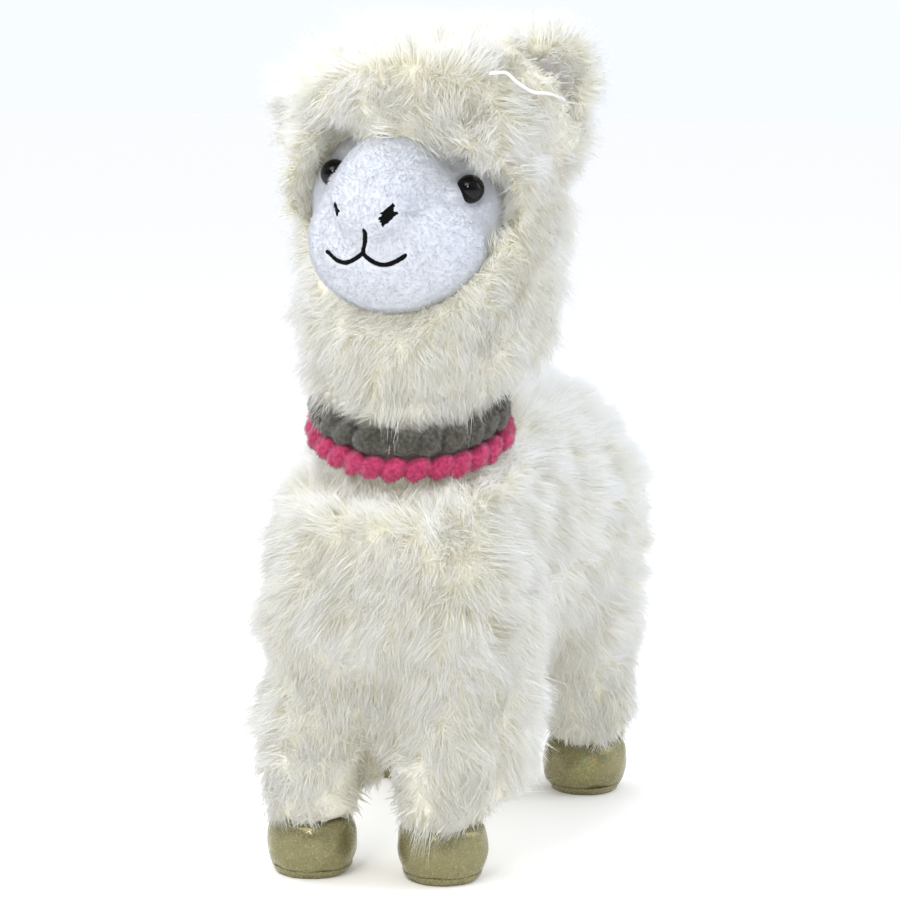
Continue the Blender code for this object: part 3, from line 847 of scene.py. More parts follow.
def fitted(points, normals, lie, length):
    """Lengths that keep the locks from hanging over the face and the ear linings."""
    length = length.copy()
    for index, (point, normal, way) in enumerate(zip(points, normals, lie)):
        lining = min(tree.find_nearest(Vector(point))[3] for tree in lining_trees.values())
        length[index] *= max(LEAST_AT_LINING, min(1, lining / LINING_REACH))
        if face_tree.find_nearest(Vector(point))[3] > FACE_AROUND:
            continue
        for share in SHARES:
            reach = length[index] * share
            tip = Vector(point + (normal * RISE_SHARE + way * RUN_SHARE) * reach)
            hangs = any(face_tree.ray_cast(tip - line * 2 * MM, line)[0] for line in SIGHT_LINES)
            if not hangs or tip.z > FRINGE_EDGE - FRINGE_CURVE * tip.x ** 2:
                break
        length[index] = reach
    return length


print("the fringe ends", round((FRINGE_EDGE - face_middle.z) / MM), "mm over the face's middle")

# %% [markdown]
# ## Lengths
# The pile is shorn to about 13 mm. Use changes it: between the feet it is rubbed shorter, and where
# one part hangs over another, such as the nape over the collar, the chest over a leg or a leg over
# its hoof, longer wisps come down. On top of the head, on the back and right under the collar the
# pile stands up. A few locks of the fringe reach down farther than the rest.

# %% Lengths
LENGTHS = {"head": 12.5, "forelock": 14, "neck": 12.5, "trunk": 13, "tail": 10}
LEG_LENGTH = 13              # all of these in millimetres
UNEVEN, UNEVEN_SIZE = 0.26, 22 * MM      # how much the length changes, over which distance
INNER_SHORTER, INNER_TOP = 0.7, 62 * MM  # between the feet
HOOF_TOP = 22 * MM
NECK_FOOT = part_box("neck")[0].z
NAPE_FROM, NAPE_LONGER = -30 * MM, 0.5
WISPS = 0.75                 # how much longer the pile is that hangs over a front hoof
CHEST_STEP = 0.35            # the chest's pile hangs over the shorter pile of the leg beside it
TOP_LIFT, TOP_FROM, TOP_LONGER = 0.9, 285 * MM, 0.3
BACK_LIFT = 0.5
COLLAR_LIFT, COLLAR_REACH = 0.7, 14 * MM
FRINGE_LOCKS, FRINGE_LONGER = [(-28, 294), (-20, 299), (30, 296)], 0.6     # (x, z) in millimetres
CAD_MIDDLE = (CAD_LOW + CAD_HIGH) / 2


def bell_of(distances, width):
    return np.exp(-(distances / width) ** 2)


def length_for(label, points, normals):
    """How long the pile is at some points of a node."""
    length = LENGTHS.get(label, LEG_LENGTH) * MM * rng.normal(1, 0.12, len(points)).clip(0.7, 1.3)
    length *= 1 + UNEVEN * ruffle(points, UNEVEN_SIZE, 9)[:, 0].clip(-1, 1)
    up = points[:, 2]
    if label.startswith("leg"):
        inwards = -np.sign(middle_of(label).x - CAD_MIDDLE.x) * normals[:, 0]
        low_down = ((INNER_TOP - up) / (15 * MM)).clip(0, 1)
        length *= 1 - INNER_SHORTER * inwards.clip(0, 1) * low_down
    if label == "neck":
        length *= 1 + NAPE_LONGER * bell_of(up - NECK_FOOT, 14 * MM) * (points[:, 1] > NAPE_FROM)
    elif label == "leg_front_left":
        length *= 1 + WISPS * bell_of(up - HOOF_TOP, 12 * MM)
    elif label == "leg_front_right":
        length *= 1 - CHEST_STEP * bell_of(up - 88 * MM, 15 * MM)
    elif label == "trunk":
        length *= 1 + CHEST_STEP * bell_of(up - 100 * MM, 14 * MM) * (normals[:, 1] < 0)
    return length


def standing(label, points, normals):
    """How far the pile stands up at some points of a node, from 0 to 1."""
    if label in ("head", "forelock"):
        return TOP_LIFT * normals[:, 2].clip(0, 1) * (points[:, 2] > TOP_FROM)
    if label == "trunk":
        under = -np.array([(collar_frame.inverted() @ Vector(point)).z for point in points])
        return np.maximum(BACK_LIFT * normals[:, 2].clip(0, 1),
                          COLLAR_LIFT * (1 - (under - COLLAR_BAND) / COLLAR_REACH).clip(0, 1))
    return np.zeros(len(points))


def fringe_share(points):
    """How much longer the locks of the fringe are than the rest."""
    share = np.ones(len(points))
    for x, z in FRINGE_LOCKS:
        gap = np.hypot(points[:, 0] - x * MM, points[:, 2] - z * MM)
        share *= 1 + FRINGE_LONGER * bell_of(gap, 9 * MM) * (points[:, 1] < face_middle.y)
    return share


print("foot of the neck, in mm:", round(NECK_FOOT / MM))

# %% [markdown]
# ## Growing the pile
# The pile leaves the cloth at about 63 degrees and bends over to 37. It hugs the foot more and more
# towards the hoof. Every node's pile is cut into pieces that stay small enough to load anywhere.

# %% Grow the pile
LIFT_LOW, LIFT_HIGH = math.radians(63), math.radians(37)
RIM_LIFT = math.radians(68)  # where the pile stands up
RIM_SHORTER = 0.1            # right beside the face
HUG_HEIGHT, LEAST_HUG = 42 * MM, 0.3     # over this height the pile of a leg rises from the foot
GATHER = 0.35                # how far the tips of a lock lean together
TUFT_WIDTH = 0.42 * MM
LARGEST_PIECE = 190_000      # triangles
KINDS = (("pile", NEEDLE, BENT_TUFTS), ("fine_pile", SHORT_NEEDLE, FINE_TUFTS))

fleece_pieces = []


def grow_pile(label, points, normals, uvs, lie, length, lift, spread, order):
    """The pile of one node, of both kinds of tuft, in pieces."""
    low, high = (np.broadcast_to(angle, len(points)) for angle in lift)
    for kind, shape, per_lock in KINDS:
        parts = max(1, math.ceil(len(points) * per_lock * len(shape[1]) / LARGEST_PIECE))
        for number, share in enumerate(np.array_split(order, parts)):
            name = f"{kind}_{label}" if parts == 1 else f"{kind}_{label}_{number + 1}"
            piece = grow(name, points[share], normals[share], uvs[share], lie[share], length[share],
                         TUFT_WIDTH, (low[share], high[share]), GATHER, spread, rng, shape, per_lock)
            fleece_pieces.append(place(piece))


for label in FLEECE_NODES:
    mine = labels == label
    points, normals, uvs = roots[mine], root_normals[mine], root_uvs[mine]
    lie, closeness = lie_for(label, points, normals)
    length = length_for(label, points, normals)
    lie, outer = bunched(points, lie, normals, length)
    stands = standing(label, points, normals)
    length *= (1 - BUNCH_DIP * outer) * (1 + TOP_LONGER * stands)
    if label in ("head", "forelock"):
        length *= fringe_share(points)
    length = fitted(points, normals, lie, length * (1 - RIM_SHORTER * closeness))
    hug = np.clip((points[:, 2] - HOOF_TOP) / HUG_HEIGHT, LEAST_HUG, 1)
    upright = np.maximum(closeness, stands)
    lift = [(angle + (RIM_LIFT - angle) * upright) * hug for angle in (LIFT_LOW, LIFT_HIGH)]
    grow_pile(label, points, normals, uvs, lie, length, lift, LOCK_SPREAD, np.argsort(points[:, 2]))
print("pile pieces:", len(fleece_pieces), "triangles:",
      sum(len(piece.data.polygons) for piece in fleece_pieces))

# %% [markdown]
# ## Undercoat and ears
# Between the locks a fleece has short, broad tufts that hide its backing. The ears' pile fans out
# from their middle, and stops at the rim of the lining.

# %% Undercoat
UNDERCOAT_DENSITY = 0.13     # tufts to a square millimetre
UNDERCOAT_LENGTH = 7 * MM
UNDERCOAT_WIDTH = 1.4 * MM
UNDERCOAT_LIFT = math.radians(55), math.radians(45)

count = int(cloth.areas.sum() / MM ** 2 * UNDERCOAT_DENSITY)
points, normals, uvs = cloth.draw(count, rng)
kept = ~bare_of_pile(points, normals)
points, normals, uvs = points[kept], normals[kept], uvs[kept]
lie = along_surface(DOWN + 0.9 * ruffle(points, 15 * MM, 8), normals)
undercoat = grow("pile_undercoat", points, normals, uvs, lie,
                 UNDERCOAT_LENGTH * rng.uniform(0.7, 1.2, len(points)), UNDERCOAT_WIDTH,
                 UNDERCOAT_LIFT, 0, 0, rng, SHORT_NEEDLE, 1)
fleece_pieces.append(place(undercoat))
print("undercoat triangles:", len(undercoat.data.polygons))

# %% Ear pile
EAR_LENGTH = 13 * MM
EAR_SPACING = 0.8            # the locks are smaller and nearer to each other than the body's
EAR_LIFT = math.radians(62), math.radians(45)
LINING_RIM = 6.5 * MM

for side, piece in ear_skins.items():
    ear_cloth = Cloth(piece)
    count = int(ear_cloth.areas.sum() / (LOCK_GAP ** 2) * 6)
    points, normals, uvs = ear_cloth.draw(count, rng)
    kept = spaced([Vector(point) for point in points], LOCK_GAP * EAR_SPACING)
    lining = lining_trees[side]
    for index in np.flatnonzero(kept):
        hit = lining.find_nearest(Vector(points[index]))
        kept[index] = hit[3] > LINING_RIM or normals[index] @ np.array(hit[1]) < 0.2
    points, normals, uvs = points[kept], normals[kept], uvs[kept]
    centre = np.array(middle_of(f"ear_{side}"))
    way = unit(points - centre) + DOWN * 0.25 + 0.35 * ruffle(points, 16 * MM, 5)
    lie = along_surface(way, normals)
    length = EAR_LENGTH * rng.normal(1, 0.12, len(points)).clip(0.7, 1.3)
    grow_pile(f"ear_{side}", points, normals, uvs, lie, length, EAR_LIFT, LOCK_SPREAD * EAR_SPACING,
              np.arange(len(points)))
    print(side, "ear locks:", len(points))

# %% [markdown]
# ## Face
# The face is cut from short-pile velour and stuffed firmly: flat cheeks, a round muzzle, and the
# bridge of the nose as a panel that bulges over it. Three balls and an oval tube give these forms.
# They are joined and remeshed, and smoothed as stuffing rounds a bag.

# %% Face form
FACE_SHIFT = Vector((0.6, 40.1, 0.4)) * MM      # from the middle of the face back to the neck's axis
FACE_TURN = math.radians(-3)
FACE_TILT = math.radians(4.8)
FACE_BACK = 11 * MM
UPRIGHT = Matrix.Rotation(math.pi / 2, 4, 'X')

face_frame = (Matrix.Translation(middle_of("face") + FACE_SHIFT)
              @ Matrix.Rotation(FACE_TURN, 4, 'Z') @ Matrix.Rotation(FACE_TILT, 4, 'Y'))


def ball(bm, centre, radii, segments=32, rings=20):
    size = Matrix.Diagonal((radii[0] * MM, radii[1] * MM, radii[2] * MM, 1))
    bmesh.ops.create_uvsphere(bm, u_segments=segments, v_segments=rings, radius=1,
                              matrix=Matrix.Translation(Vector(centre) * MM) @ size)


FACE_BALLS = {
    # form: (centre, radii), in millimetres in the face's frame
    "cheeks": ((-2, -16, 3), (41, 22, 31.5)),
    "muzzle": ((1.4, -30.5, -10.8), (35.6, 35, 28)),
    "brow": ((0, -31, 4), (30, 29, 22)),
}
NOSE_SECTIONS = [
    # (centre, half width, half depth) from the brow down to the tip
    ((0, -22, 26), 10, 8),
    ((0, -26, 25), 15, 12),
    ((0, -37, 20), 18, 15),
    ((0, -49, 14), 18, 15),
    ((0, -59, 9), 17, 14),
    ((0, -68, 5), 13, 10),
    ((0, -71, 4), 7, 5),
]

bm = bmesh.new()
for centre, radii in FACE_BALLS.values():
    ball(bm, centre, radii)
tube(bm, [Matrix.Translation(Vector(centre) * MM) @ UPRIGHT
          @ Matrix.Diagonal((half_width * MM, half_depth * MM, 1, 1))
          for centre, half_width, half_depth in NOSE_SECTIONS], 36)
lump = modified(mesh_of(bm), [
    ('REMESH', {"mode": 'VOXEL', "voxel_size": 1.2 * MM}),
    ('SMOOTH', {"factor": 0.5, "iterations": 70}),
])
print("face faces:", len(lump.polygons))

# %% [markdown]
# ## The cloth of the face
# Thread and eyes pull the cloth in, so it is worked as by hand: it dips round the eyes, creases along
# the seam beside the nose, puckers where the nostrils are embroidered and is drawn in under the
# mouth's thread. A flat cut behind the cheeks closes the face where it is sewn to the head.

# %% Work the cloth of the face
EYE_ACROSS, EYE_UP = 28.5, 13.2          # in the face's frame, in millimetres
NOSTRIL_ACROSS, NOSTRIL_UP = 10.3, 3.8
MOUTH_HALF, MOUTH_MIDDLE, MOUTH_SLOPE = 16.0, 0.5, 0.069
MOUTH_LEVEL, MOUTH_DIP, MOUTH_LIFT, MOUTH_RISE = -12.0, 3.8, -0.4, 9.0


def mouth_height(x):
    """The height of the mouth's line at a place across the face."""
    across = abs(x - MOUTH_MIDDLE) / MOUTH_HALF
    return (MOUTH_LEVEL - MOUTH_DIP * math.sin(math.pi * across) + MOUTH_LIFT * across
            + MOUTH_SLOPE * (x - MOUTH_MIDDLE))


def bell(distance, width):
    return math.exp(-(distance / width) ** 2)


def dip(x, z):
    """How far the cloth is pulled in at a place across and up the face, in millimetres."""
    depth = 0
    if abs(x - MOUTH_MIDDLE) < MOUTH_HALF:      # under the mouth's thread
        depth += 0.5 * bell(z - mouth_height(x), 1.3)
    if MOUTH_LEVEL < z < MOUTH_LEVEL + MOUTH_RISE:      # under its upright stroke, with small puckers
        depth += 0.5 * bell(x - MOUTH_MIDDLE, 1.3)
        depth += 0.1 * math.cos(2 * math.pi * z / 1.9) * bell(x - 4, 4.5)
    x = abs(x)                                  # the rest is alike on both sides
    eye = math.hypot(x - EYE_ACROSS, z - EYE_UP)
    depth += 1.2 * bell(eye - 5.0, 2.6)
    seam_end = min(max((x - 11) / 15, 0), 1)    # along the seam beside the nose
    seam_height = 3.4 + 5.6 * seam_end ** 1.4
    if x > 10:
        depth += 0.8 * (1 - seam_end ** 3) * bell(z - seam_height, 1.5)
    nostril = math.hypot(x - NOSTRIL_ACROSS, z - NOSTRIL_UP)
    turn = math.atan2(z - NOSTRIL_UP, x - NOSTRIL_ACROSS)
    depth += 0.8 * bell(nostril, 4.2) + 0.1 * math.cos(11 * turn) * bell(nostril - 6.0, 2.6)
    return depth


bm = bmesh.new()
bm.from_mesh(lump)
everything = bm.verts[:] + bm.edges[:] + bm.faces[:]
bmesh.ops.bisect_plane(bm, geom=everything, plane_co=(0, -FACE_BACK, 0), plane_no=(0, -1, 0),
                       clear_inner=True)
bmesh.ops.holes_fill(bm, edges=[edge for edge in bm.edges if edge.is_boundary])
bmesh.ops.triangulate(bm, faces=bm.faces)
bm.normal_update()
for vert in bm.verts:        # the normals stay those from before, as nothing updates them here
    if vert.normal.y < -0.1:
        vert.co -= vert.normal * dip(vert.co.x / MM, vert.co.z / MM) * MM
bmesh.ops.transform(bm, matrix=face_frame, verts=bm.verts)
face_mesh = mesh_of(bm, "velour_face")
face_mesh.shade_smooth()
face = place(bpy.data.objects.new("velour_face", face_mesh))
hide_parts("face")
unwrap(face)
print("face triangles:", len(face_mesh.polygons))

# %% Places on the face
FORWARD = face_frame.to_3x3() @ Vector((0, -1, 0))
bm = bmesh.new()
bm.from_mesh(face_mesh)
face_surface = BVHTree.FromBMesh(bm)
bm.free()


def on_face(x, z):
    """The point and normal of the cloth at a place across and up the face, in millimetres."""
    start = face_frame @ Vector((x * MM, -120 * MM, z * MM))
    point, normal, _, _ = face_surface.ray_cast(start, -FORWARD)
    return point, normal


print("tip of the nose at", [round(value / MM, 1) for value in on_face(0, NOSTRIL_UP)[0]])

# %% [markdown]
# ## Eyes
# Each eye is a half ball of black plastic on a stem that is pushed through the cloth. The whole ball
# is modelled, as its back is buried. Polished plastic is nearly a black mirror.

# %% Eyes
eyes = []
for side in ("left", "right"):
    low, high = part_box(f"eye_{side}")
    bm = bmesh.new()
    bmesh.ops.create_uvsphere(bm, u_segments=40, v_segments=24, radius=(high.z - low.z) / 2,
                              matrix=Matrix.Translation((low + high) / 2))
    eye = place(bpy.data.objects.new(f"bead_eye_{side}", mesh_of(bm)))
    eye.data.shade_smooth()
    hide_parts(f"eye_{side}")
    eyes.append(eye)
polished, tree, shader = finish_of("black acrylic, moulded and polished", Roughness=0.05, IOR=1.49,
                                   Base_Color=linear("020203"), Specular_IOR_Level=0.3)
for eye in eyes:
    eye.data.materials.append(polished)
print("eye diameter in mm:", round((high.z - low.z) / MM, 1))

# %% [markdown]
# ## Embroidery
# The mouth is a line of short stitches, each laid a little across the line, so that its edge is
# slightly ragged. The nostrils are satin stitch: long threads side by side in a slanting leaf shape.
# Each stitch is a stretched ball that lies on the cloth.

# %% Stitches
STITCH_RADIUS, LEAF_RADIUS = 0.85, 0.7   # of the thread, in millimetres
STITCH_HALF = 1.25           # half of a stitch's length
THREAD_TWIST = 0.9 * MM


def stitch(bm, start, end, normal, radius):
    """One raised thread from start to end, a stretched ball that lies on the cloth."""
    way = end - start
    turn = Matrix((way.normalized(), normal.cross(way).normalized(), normal)).transposed().to_4x4()
    size = Matrix.Diagonal((way.length * 0.56, radius * MM, radius * MM, 1))
    bmesh.ops.create_uvsphere(bm, u_segments=10, v_segments=8, radius=1,
                              matrix=Matrix.Translation((start + end) / 2) @ turn @ size)


def line_of_stitches(bm, places, random):
    """Slanted stitches along places on the face, each (x, z) in millimetres."""
    for (x, z), (next_x, next_z) in zip(places, places[1:]):
        way = Vector((next_x - x, next_z - z)).normalized()
        slant = Vector((-way.y, way.x)) * random.uniform(0.25, 0.5)
        middle = Vector(((x + next_x) / 2, (z + next_z) / 2))
        tail, head = middle - way * STITCH_HALF - slant, middle + way * STITCH_HALF + slant
        start, normal = on_face(*tail)
        end, _ = on_face(*head)
        stitch(bm, start, end, normal, STITCH_RADIUS * random.uniform(0.9, 1.12))


def sewn(name, bm, node):
    piece = place(bpy.data.objects.new(name, mesh_of(bm)))
    piece.data.shade_smooth()
    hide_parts(node)
    return piece


STROKE_LEAN = 0.2
MOUTH_STITCHES, STROKE_STITCHES = 44, 11
random = np.random.default_rng(5)
bm = bmesh.new()
arcs = [MOUTH_MIDDLE + MOUTH_HALF * (2 * i / MOUTH_STITCHES - 1) for i in range(MOUTH_STITCHES + 1)]
line_of_stitches(bm, [(x, mouth_height(x)) for x in arcs], random)
strokes = [MOUTH_RISE * i / STROKE_STITCHES for i in range(STROKE_STITCHES + 1)]
line_of_stitches(bm, [(MOUTH_MIDDLE + STROKE_LEAN * rise, MOUTH_LEVEL + rise) for rise in strokes],
                 random)
embroidery = [sewn("mouth_stitches", bm, "mouth")]
print("faces of the mouth's thread:", len(embroidery[0].data.polygons))

# %% Nostrils
NOSTRILS_SHIFT = 0.2         # the pair sits a little towards the toy's left, in millimetres
LEAF_SLANT, THREAD_SLANT = math.radians(70), math.radians(104)
LEAF_THREADS = 15
LEAVES = (("left", 1, 4.3, 4.4), ("right", -1, 2.2, 3.0))    # side, sign, half length, width

for side, sign, leaf_half, leaf_width in LEAVES:
    bm = bmesh.new()
    for i in range(LEAF_THREADS):
        share = -1 + 2 * i / (LEAF_THREADS - 1)
        along_leaf = leaf_half * share
        half = leaf_width / 2 * (1 - abs(share) ** 1.7 * 0.9) * random.uniform(0.85, 1.1)
        x = sign * (NOSTRIL_ACROSS + along_leaf * math.cos(LEAF_SLANT)) + NOSTRILS_SHIFT
        z = NOSTRIL_UP + along_leaf * math.sin(LEAF_SLANT)
        across = Vector((-sign * math.sin(THREAD_SLANT), math.cos(THREAD_SLANT))) * half
        shift = random.uniform(-0.35, 0.35)
        start, normal = on_face(x - across.x * (1 + shift), z - across.y * (1 + shift))
        end, _ = on_face(x + across.x * (1 - shift), z + across.y * (1 - shift))
        stitch(bm, start, end, normal, LEAF_RADIUS)
    embroidery.append(sewn(f"nostril_stitches_{side}", bm, f"nostril_{side}"))

rayon = thread_finish("black rayon thread, twisted", "040405", THREAD_TWIST, 0.4,
                      Roughness=0.6, IOR=1.47, Specular_IOR_Level=0.1)
for piece in embroidery:
    piece.data.materials.append(rayon)
print("stitches sewn")

# %% [markdown]
# ## Velour pile
# Velour has a pile under two millimetres long that stands straight up. Bump alone would leave the
# outline of the cheek as smooth as an eggshell, so tiny three-sided needles stand all over the cloth
# and break the edge and the light. They are shaded almost wholly by the cloth's own normal, since
# single fibres are too fine to be told apart.

# %% Short pile
VELOUR_LIFT = math.radians(70), math.radians(60)


def everywhere(points, normals):
    return np.ones(len(points), bool)


def short_pile(name, piece, density, length, width, keep, rng):
    """Single needles standing over a piece, with so many to a square millimetre."""
    cloth = Cloth(piece)
    points, normals, uvs = cloth.draw(int(cloth.areas.sum() / MM ** 2 * density), rng)
    kept = keep(points, normals)
    points, normals, uvs = points[kept], normals[kept], uvs[kept]
    lie = along_surface(DOWN + 0.4 * ruffle(points, 9 * MM, 6), normals)
    lengths = length * rng.uniform(0.7, 1.2, len(points))
    made = grow(name, points, normals, uvs, lie, lengths, width, VELOUR_LIFT, 0, 0, rng,
                SHORT_NEEDLE, 1, sunk=0.2 * MM, self_facing=0.6)
    place(made)
    return made


THREAD_CLEAR = 0.8 * MM      # no needle is rooted nearer than this to a thread or an eye
threads = bmesh.new()
for piece in embroidery + eyes:
    threads.from_mesh(piece.data)
thread_surface = BVHTree.FromBMesh(threads)
threads.free()
to_face = np.array(face_frame.inverted())


def seen_cloth(points, normals):
    """Leaves out the back of the face and what the thread and the eyes cover."""
    front = (points @ to_face[:3, :3].T + to_face[:3, 3])[:, 1] < -FACE_BACK - 1 * MM
    clear = [thread_surface.find_nearest(Vector(point), THREAD_CLEAR)[0] is None for point in points]
    return front & np.array(clear)


face_pile = short_pile("velour_pile", face, 3.0, 1.2 * MM, 0.38 * MM, seen_cloth, rng)
print("face pile triangles:", len(face_pile.data.polygons))

# %% Velour finish
VELOUR_GRAIN = 0.5 * MM


def velour(name, dark, light):
    """Short pile: a soft sheen, and a mottle where the pile leans in different ways."""
    made, tree, shader = finish_of(name, Roughness=0.85, Sheen_Weight=0.35, Sheen_Roughness=0.45,
                                   Specular_IOR_Level=0.25)
    grain = mottled(tree, shader, VELOUR_GRAIN, dark, light, roughness=0.6)
    dented(tree, shader, grain, 0.1, 0.2 * MM)
    return made


face_cloth = velour("white polyester velour, cut pile", "D7DBE4", "E5E8EF")
for piece in (face, face_pile):
    piece.data.materials.append(face_cloth)
print("face finished")

# %% [markdown]
# ## Ear linings
# The cup of each ear is lined with greige velour. The solid lining is copied, remeshed and smoothed,
# and gets its own short pile.

# %% Ear linings
lining_cloth = velour("greige polyester velour, cut pile", "D4CFCC", "E6E2E0")
for side in ("left", "right"):
    lining = modified(mesh_of(copies([f"ear_lining_{side}"])), [
        ('REMESH', {"mode": 'VOXEL', "voxel_size": 0.8 * MM}),
        ('SMOOTH', {"factor": 0.5, "iterations": 8}),
        ('TRIANGULATE', {}),
    ])
    lining.shade_smooth()
    piece = place(bpy.data.objects.new(f"velour_lining_{side}", lining))
    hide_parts(f"ear_lining_{side}")
    unwrap(piece)
    fuzz = short_pile(f"velour_lining_pile_{side}", piece, 4.5, 1.2 * MM, 0.34 * MM,
                      everywhere, rng)
    for item in (piece, fuzz):
        item.data.materials.append(lining_cloth)
print("ears lined")

# %% [markdown]
# ## Collar
# Two rows of chenille yarn are crocheted into bobbles. Each bobble is a fat ball with two smaller
# ones beside it, where the yarn turns back. A row is remeshed into one soft string and covered in the
# short fibres that make chenille look like a caterpillar.

# %% Collar rows
COLLAR_ROWS = {
    # row: (bobbles, ring radius, height above the middle), in millimetres
    "collar_grey": (25, 35.4, 5.3),
    "collar_pink": (27, 36.6, -5.3),
}
# the dark and light of each yarn are painted shade and painted highlight of the bobbles' folds, mottled
# at random
YARN = {
    "collar_grey": ("taupe acrylic chenille, crocheted", "3A372D", "67645A"),
    "collar_pink": ("pink acrylic chenille, crocheted", "A92755", "D84779"),
}
LOBES = [(0, 0, 4.4), (0.22, 2.4, 3.1), (-0.2, -2.6, 3.2)]   # shift along the row, rise, radius
CHENILLE_GRAIN = 1.43 * MM


def collar_row(name, bobbles, ring, height, random):
    """One row of bobbles round the neck, from balls that are melted together."""
    bm = bmesh.new()
    for i in range(bobbles):
        turn = 2 * math.pi * (i + random.uniform(-0.12, 0.12)) / bobbles
        for shift, rise, radius in LOBES:
            angle = turn + shift * 2 * math.pi / bobbles
            out = ring + random.uniform(-0.6, 1.4)
            ball(bm, (out * math.cos(angle), out * math.sin(angle),
                      height + rise * random.uniform(0.7, 1.1)), [radius] * 3, 16, 10)
    bmesh.ops.transform(bm, matrix=collar_frame, verts=bm.verts)
    mesh = modified(mesh_of(bm), [
        ('REMESH', {"mode": 'VOXEL', "voxel_size": 0.9 * MM}),
        ('SMOOTH', {"factor": 0.5, "iterations": 1}),
        ('TRIANGULATE', {}),
    ])
    mesh.shade_smooth()
    return place(bpy.data.objects.new(name, mesh))


def chenille(name, dark, light):
    """Yarn of dense short fibres with a soft sheen, mottled at random between a painted shade and a
    painted highlight of its folds.
    """
    made, tree, shader = finish_of(name, Roughness=0.9, Sheen_Weight=0.4, Sheen_Roughness=0.5)
    mottled(tree, shader, CHENILLE_GRAIN, dark, light)
    return made


for node, (bobbles, ring, height) in COLLAR_ROWS.items():
    row = collar_row(f"{node}_yarn", bobbles, ring, height, random)
    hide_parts(node)
    unwrap(row)
    fuzz = short_pile(f"{node}_fibres", row, 2.6, 1.3 * MM, 0.4 * MM, everywhere, rng)
    yarn = chenille(*YARN[node])
    for item in (row, fuzz):
        item.data.materials.append(yarn)
    print(node, "triangles:", len(row.data.polygons) + len(fuzz.data.polygons))

# %% [markdown]
# ## Hooves
# Each hoof is a stuffed cup of foil-coated cloth, with a round sole sewn in below. A profile is spun
# round the upright axis. The seam pulls the cloth in above the sole, and stuffing dents the sides a
# little, so a smooth random swell moves the wall in and out.

# %% Hooves
HOOF_SEAM = 0.14             # height of the sole's seam, as a share of the hoof's
HOOF_SIDES = 72
STILL_FOOT, STILL_CORE = 0.5, 8 * MM     # the sole's flat and the middle of the top keep their place


def spun(name, profile, middle, random):
    """A turned piece with soft dents, from (radius, height) in metres."""
    bm = bmesh.new()
    verts = [bm.verts.new((radius, 0, height)) for radius, height in profile]
    edges = [bm.edges.new(pair) for pair in zip(verts, verts[1:])]
    bmesh.ops.spin(bm, geom=verts + edges, cent=(0, 0, 0), axis=(0, 0, 1), angle=math.tau,
                   steps=HOOF_SIDES, use_merge=True)
    bmesh.ops.remove_doubles(bm, verts=bm.verts, dist=0.001 * MM)
    phases = random.uniform(0, math.tau, 4)
    for vert in bm.verts:
        turn, rise = math.atan2(vert.co.y, vert.co.x), vert.co.z / MM
        swell = (0.35 * math.sin(2 * turn + phases[0])
                 + 0.22 * math.sin(5 * turn + phases[1] + 0.25 * rise)
                 + 0.14 * math.sin(9 * turn + phases[2] - 0.5 * rise)) * MM
        outwards = Vector((vert.co.x, vert.co.y, 0))
        if rise > STILL_FOOT and outwards.length > STILL_CORE:
            vert.co += outwards.normalized() * swell
    bmesh.ops.translate(bm, vec=(middle.x, middle.y, 0), verts=bm.verts)
    made = place(bpy.data.objects.new(name, mesh_of(bm)))
    made.data.shade_smooth()
    return made


def profile_through(points):
    """A smooth profile through (radius, height) points."""
    corners = [Vector(point) for point in points]
    return smooth_run([corners[0]] + corners + [corners[-1]], 5)


hoof_pieces = []
for end in HOOF_ENDS:
    low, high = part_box(f"hoof_{end}")
    middle, radius, top = (low + high) / 2, (high.x - low.x) / 2, high.z
    seam = top * HOOF_SEAM
    wall = profile_through([
        (0, top), (radius * 0.7, top - 0.5 * MM), (radius * 0.93, top * 0.88), (radius, top * 0.6),
        (radius * 0.985, top * 0.36), (radius * 0.92, top * 0.2), (radius * 0.86, seam),
        (radius * 0.8, seam + 0.4 * MM), (0, seam + 1 * MM)])
    sole = profile_through([
        (0, seam + 0.8 * MM), (radius * 0.8, seam + 0.2 * MM), (radius * 0.875, seam - 0.6 * MM),
        (radius * 0.85, seam * 0.45), (radius * 0.78, 0.15 * MM), (radius * 0.7, 0), (0, 0)])
    for name, profile in ((f"hoof_{end}", wall), (f"sole_{end}", sole)):
        piece = spun(f"foil_{name}", profile, middle, random)
        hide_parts(name)
        hoof_pieces.append(piece)
print("hoof pieces:", len(hoof_pieces))

# %% [markdown]
# ## Foil cloth
# A film of gold-coloured foil is pressed onto knitted cloth, and breaks into flecks over its loops. On
# the hoof behind, on the toy's left, a round patch on the side towards the camera has some flecks
# painted red, yellow and green, a painted reflection of light that the film splits like a grating. The
# lightest few flecks are painted sparkle. One cell pattern gives every fleck its own values.

# %% Foil cloth
GLITTER = 0.36 * MM          # the size of a fleck
# radius of the round patch of painted reflection, where flecks are painted in rainbow colours
RAINBOW_REFLECTION_RADIUS = 6.5 * MM

foil, tree, shader = finish_of("gold foil on knitted cloth, pressed", Metallic=0.45)
where = object_place(tree)
flecks = add(tree, 'ShaderNodeTexVoronoi', {"Scale": 1 / GLITTER}, {"Vector": where})
grey_level = add(tree, 'ShaderNodeSeparateColor', links={"Color": flecks.outputs["Color"]})
# the flecks differ in tone at random, and the lightest few are painted sparkle of the foil
cloth_colour = ramp(tree, grey_level.outputs["Red"],
                    [(0, "7C7650"), (0.5, "8A845D"), (0.92, "958F69"), (1, "BFB98D")])
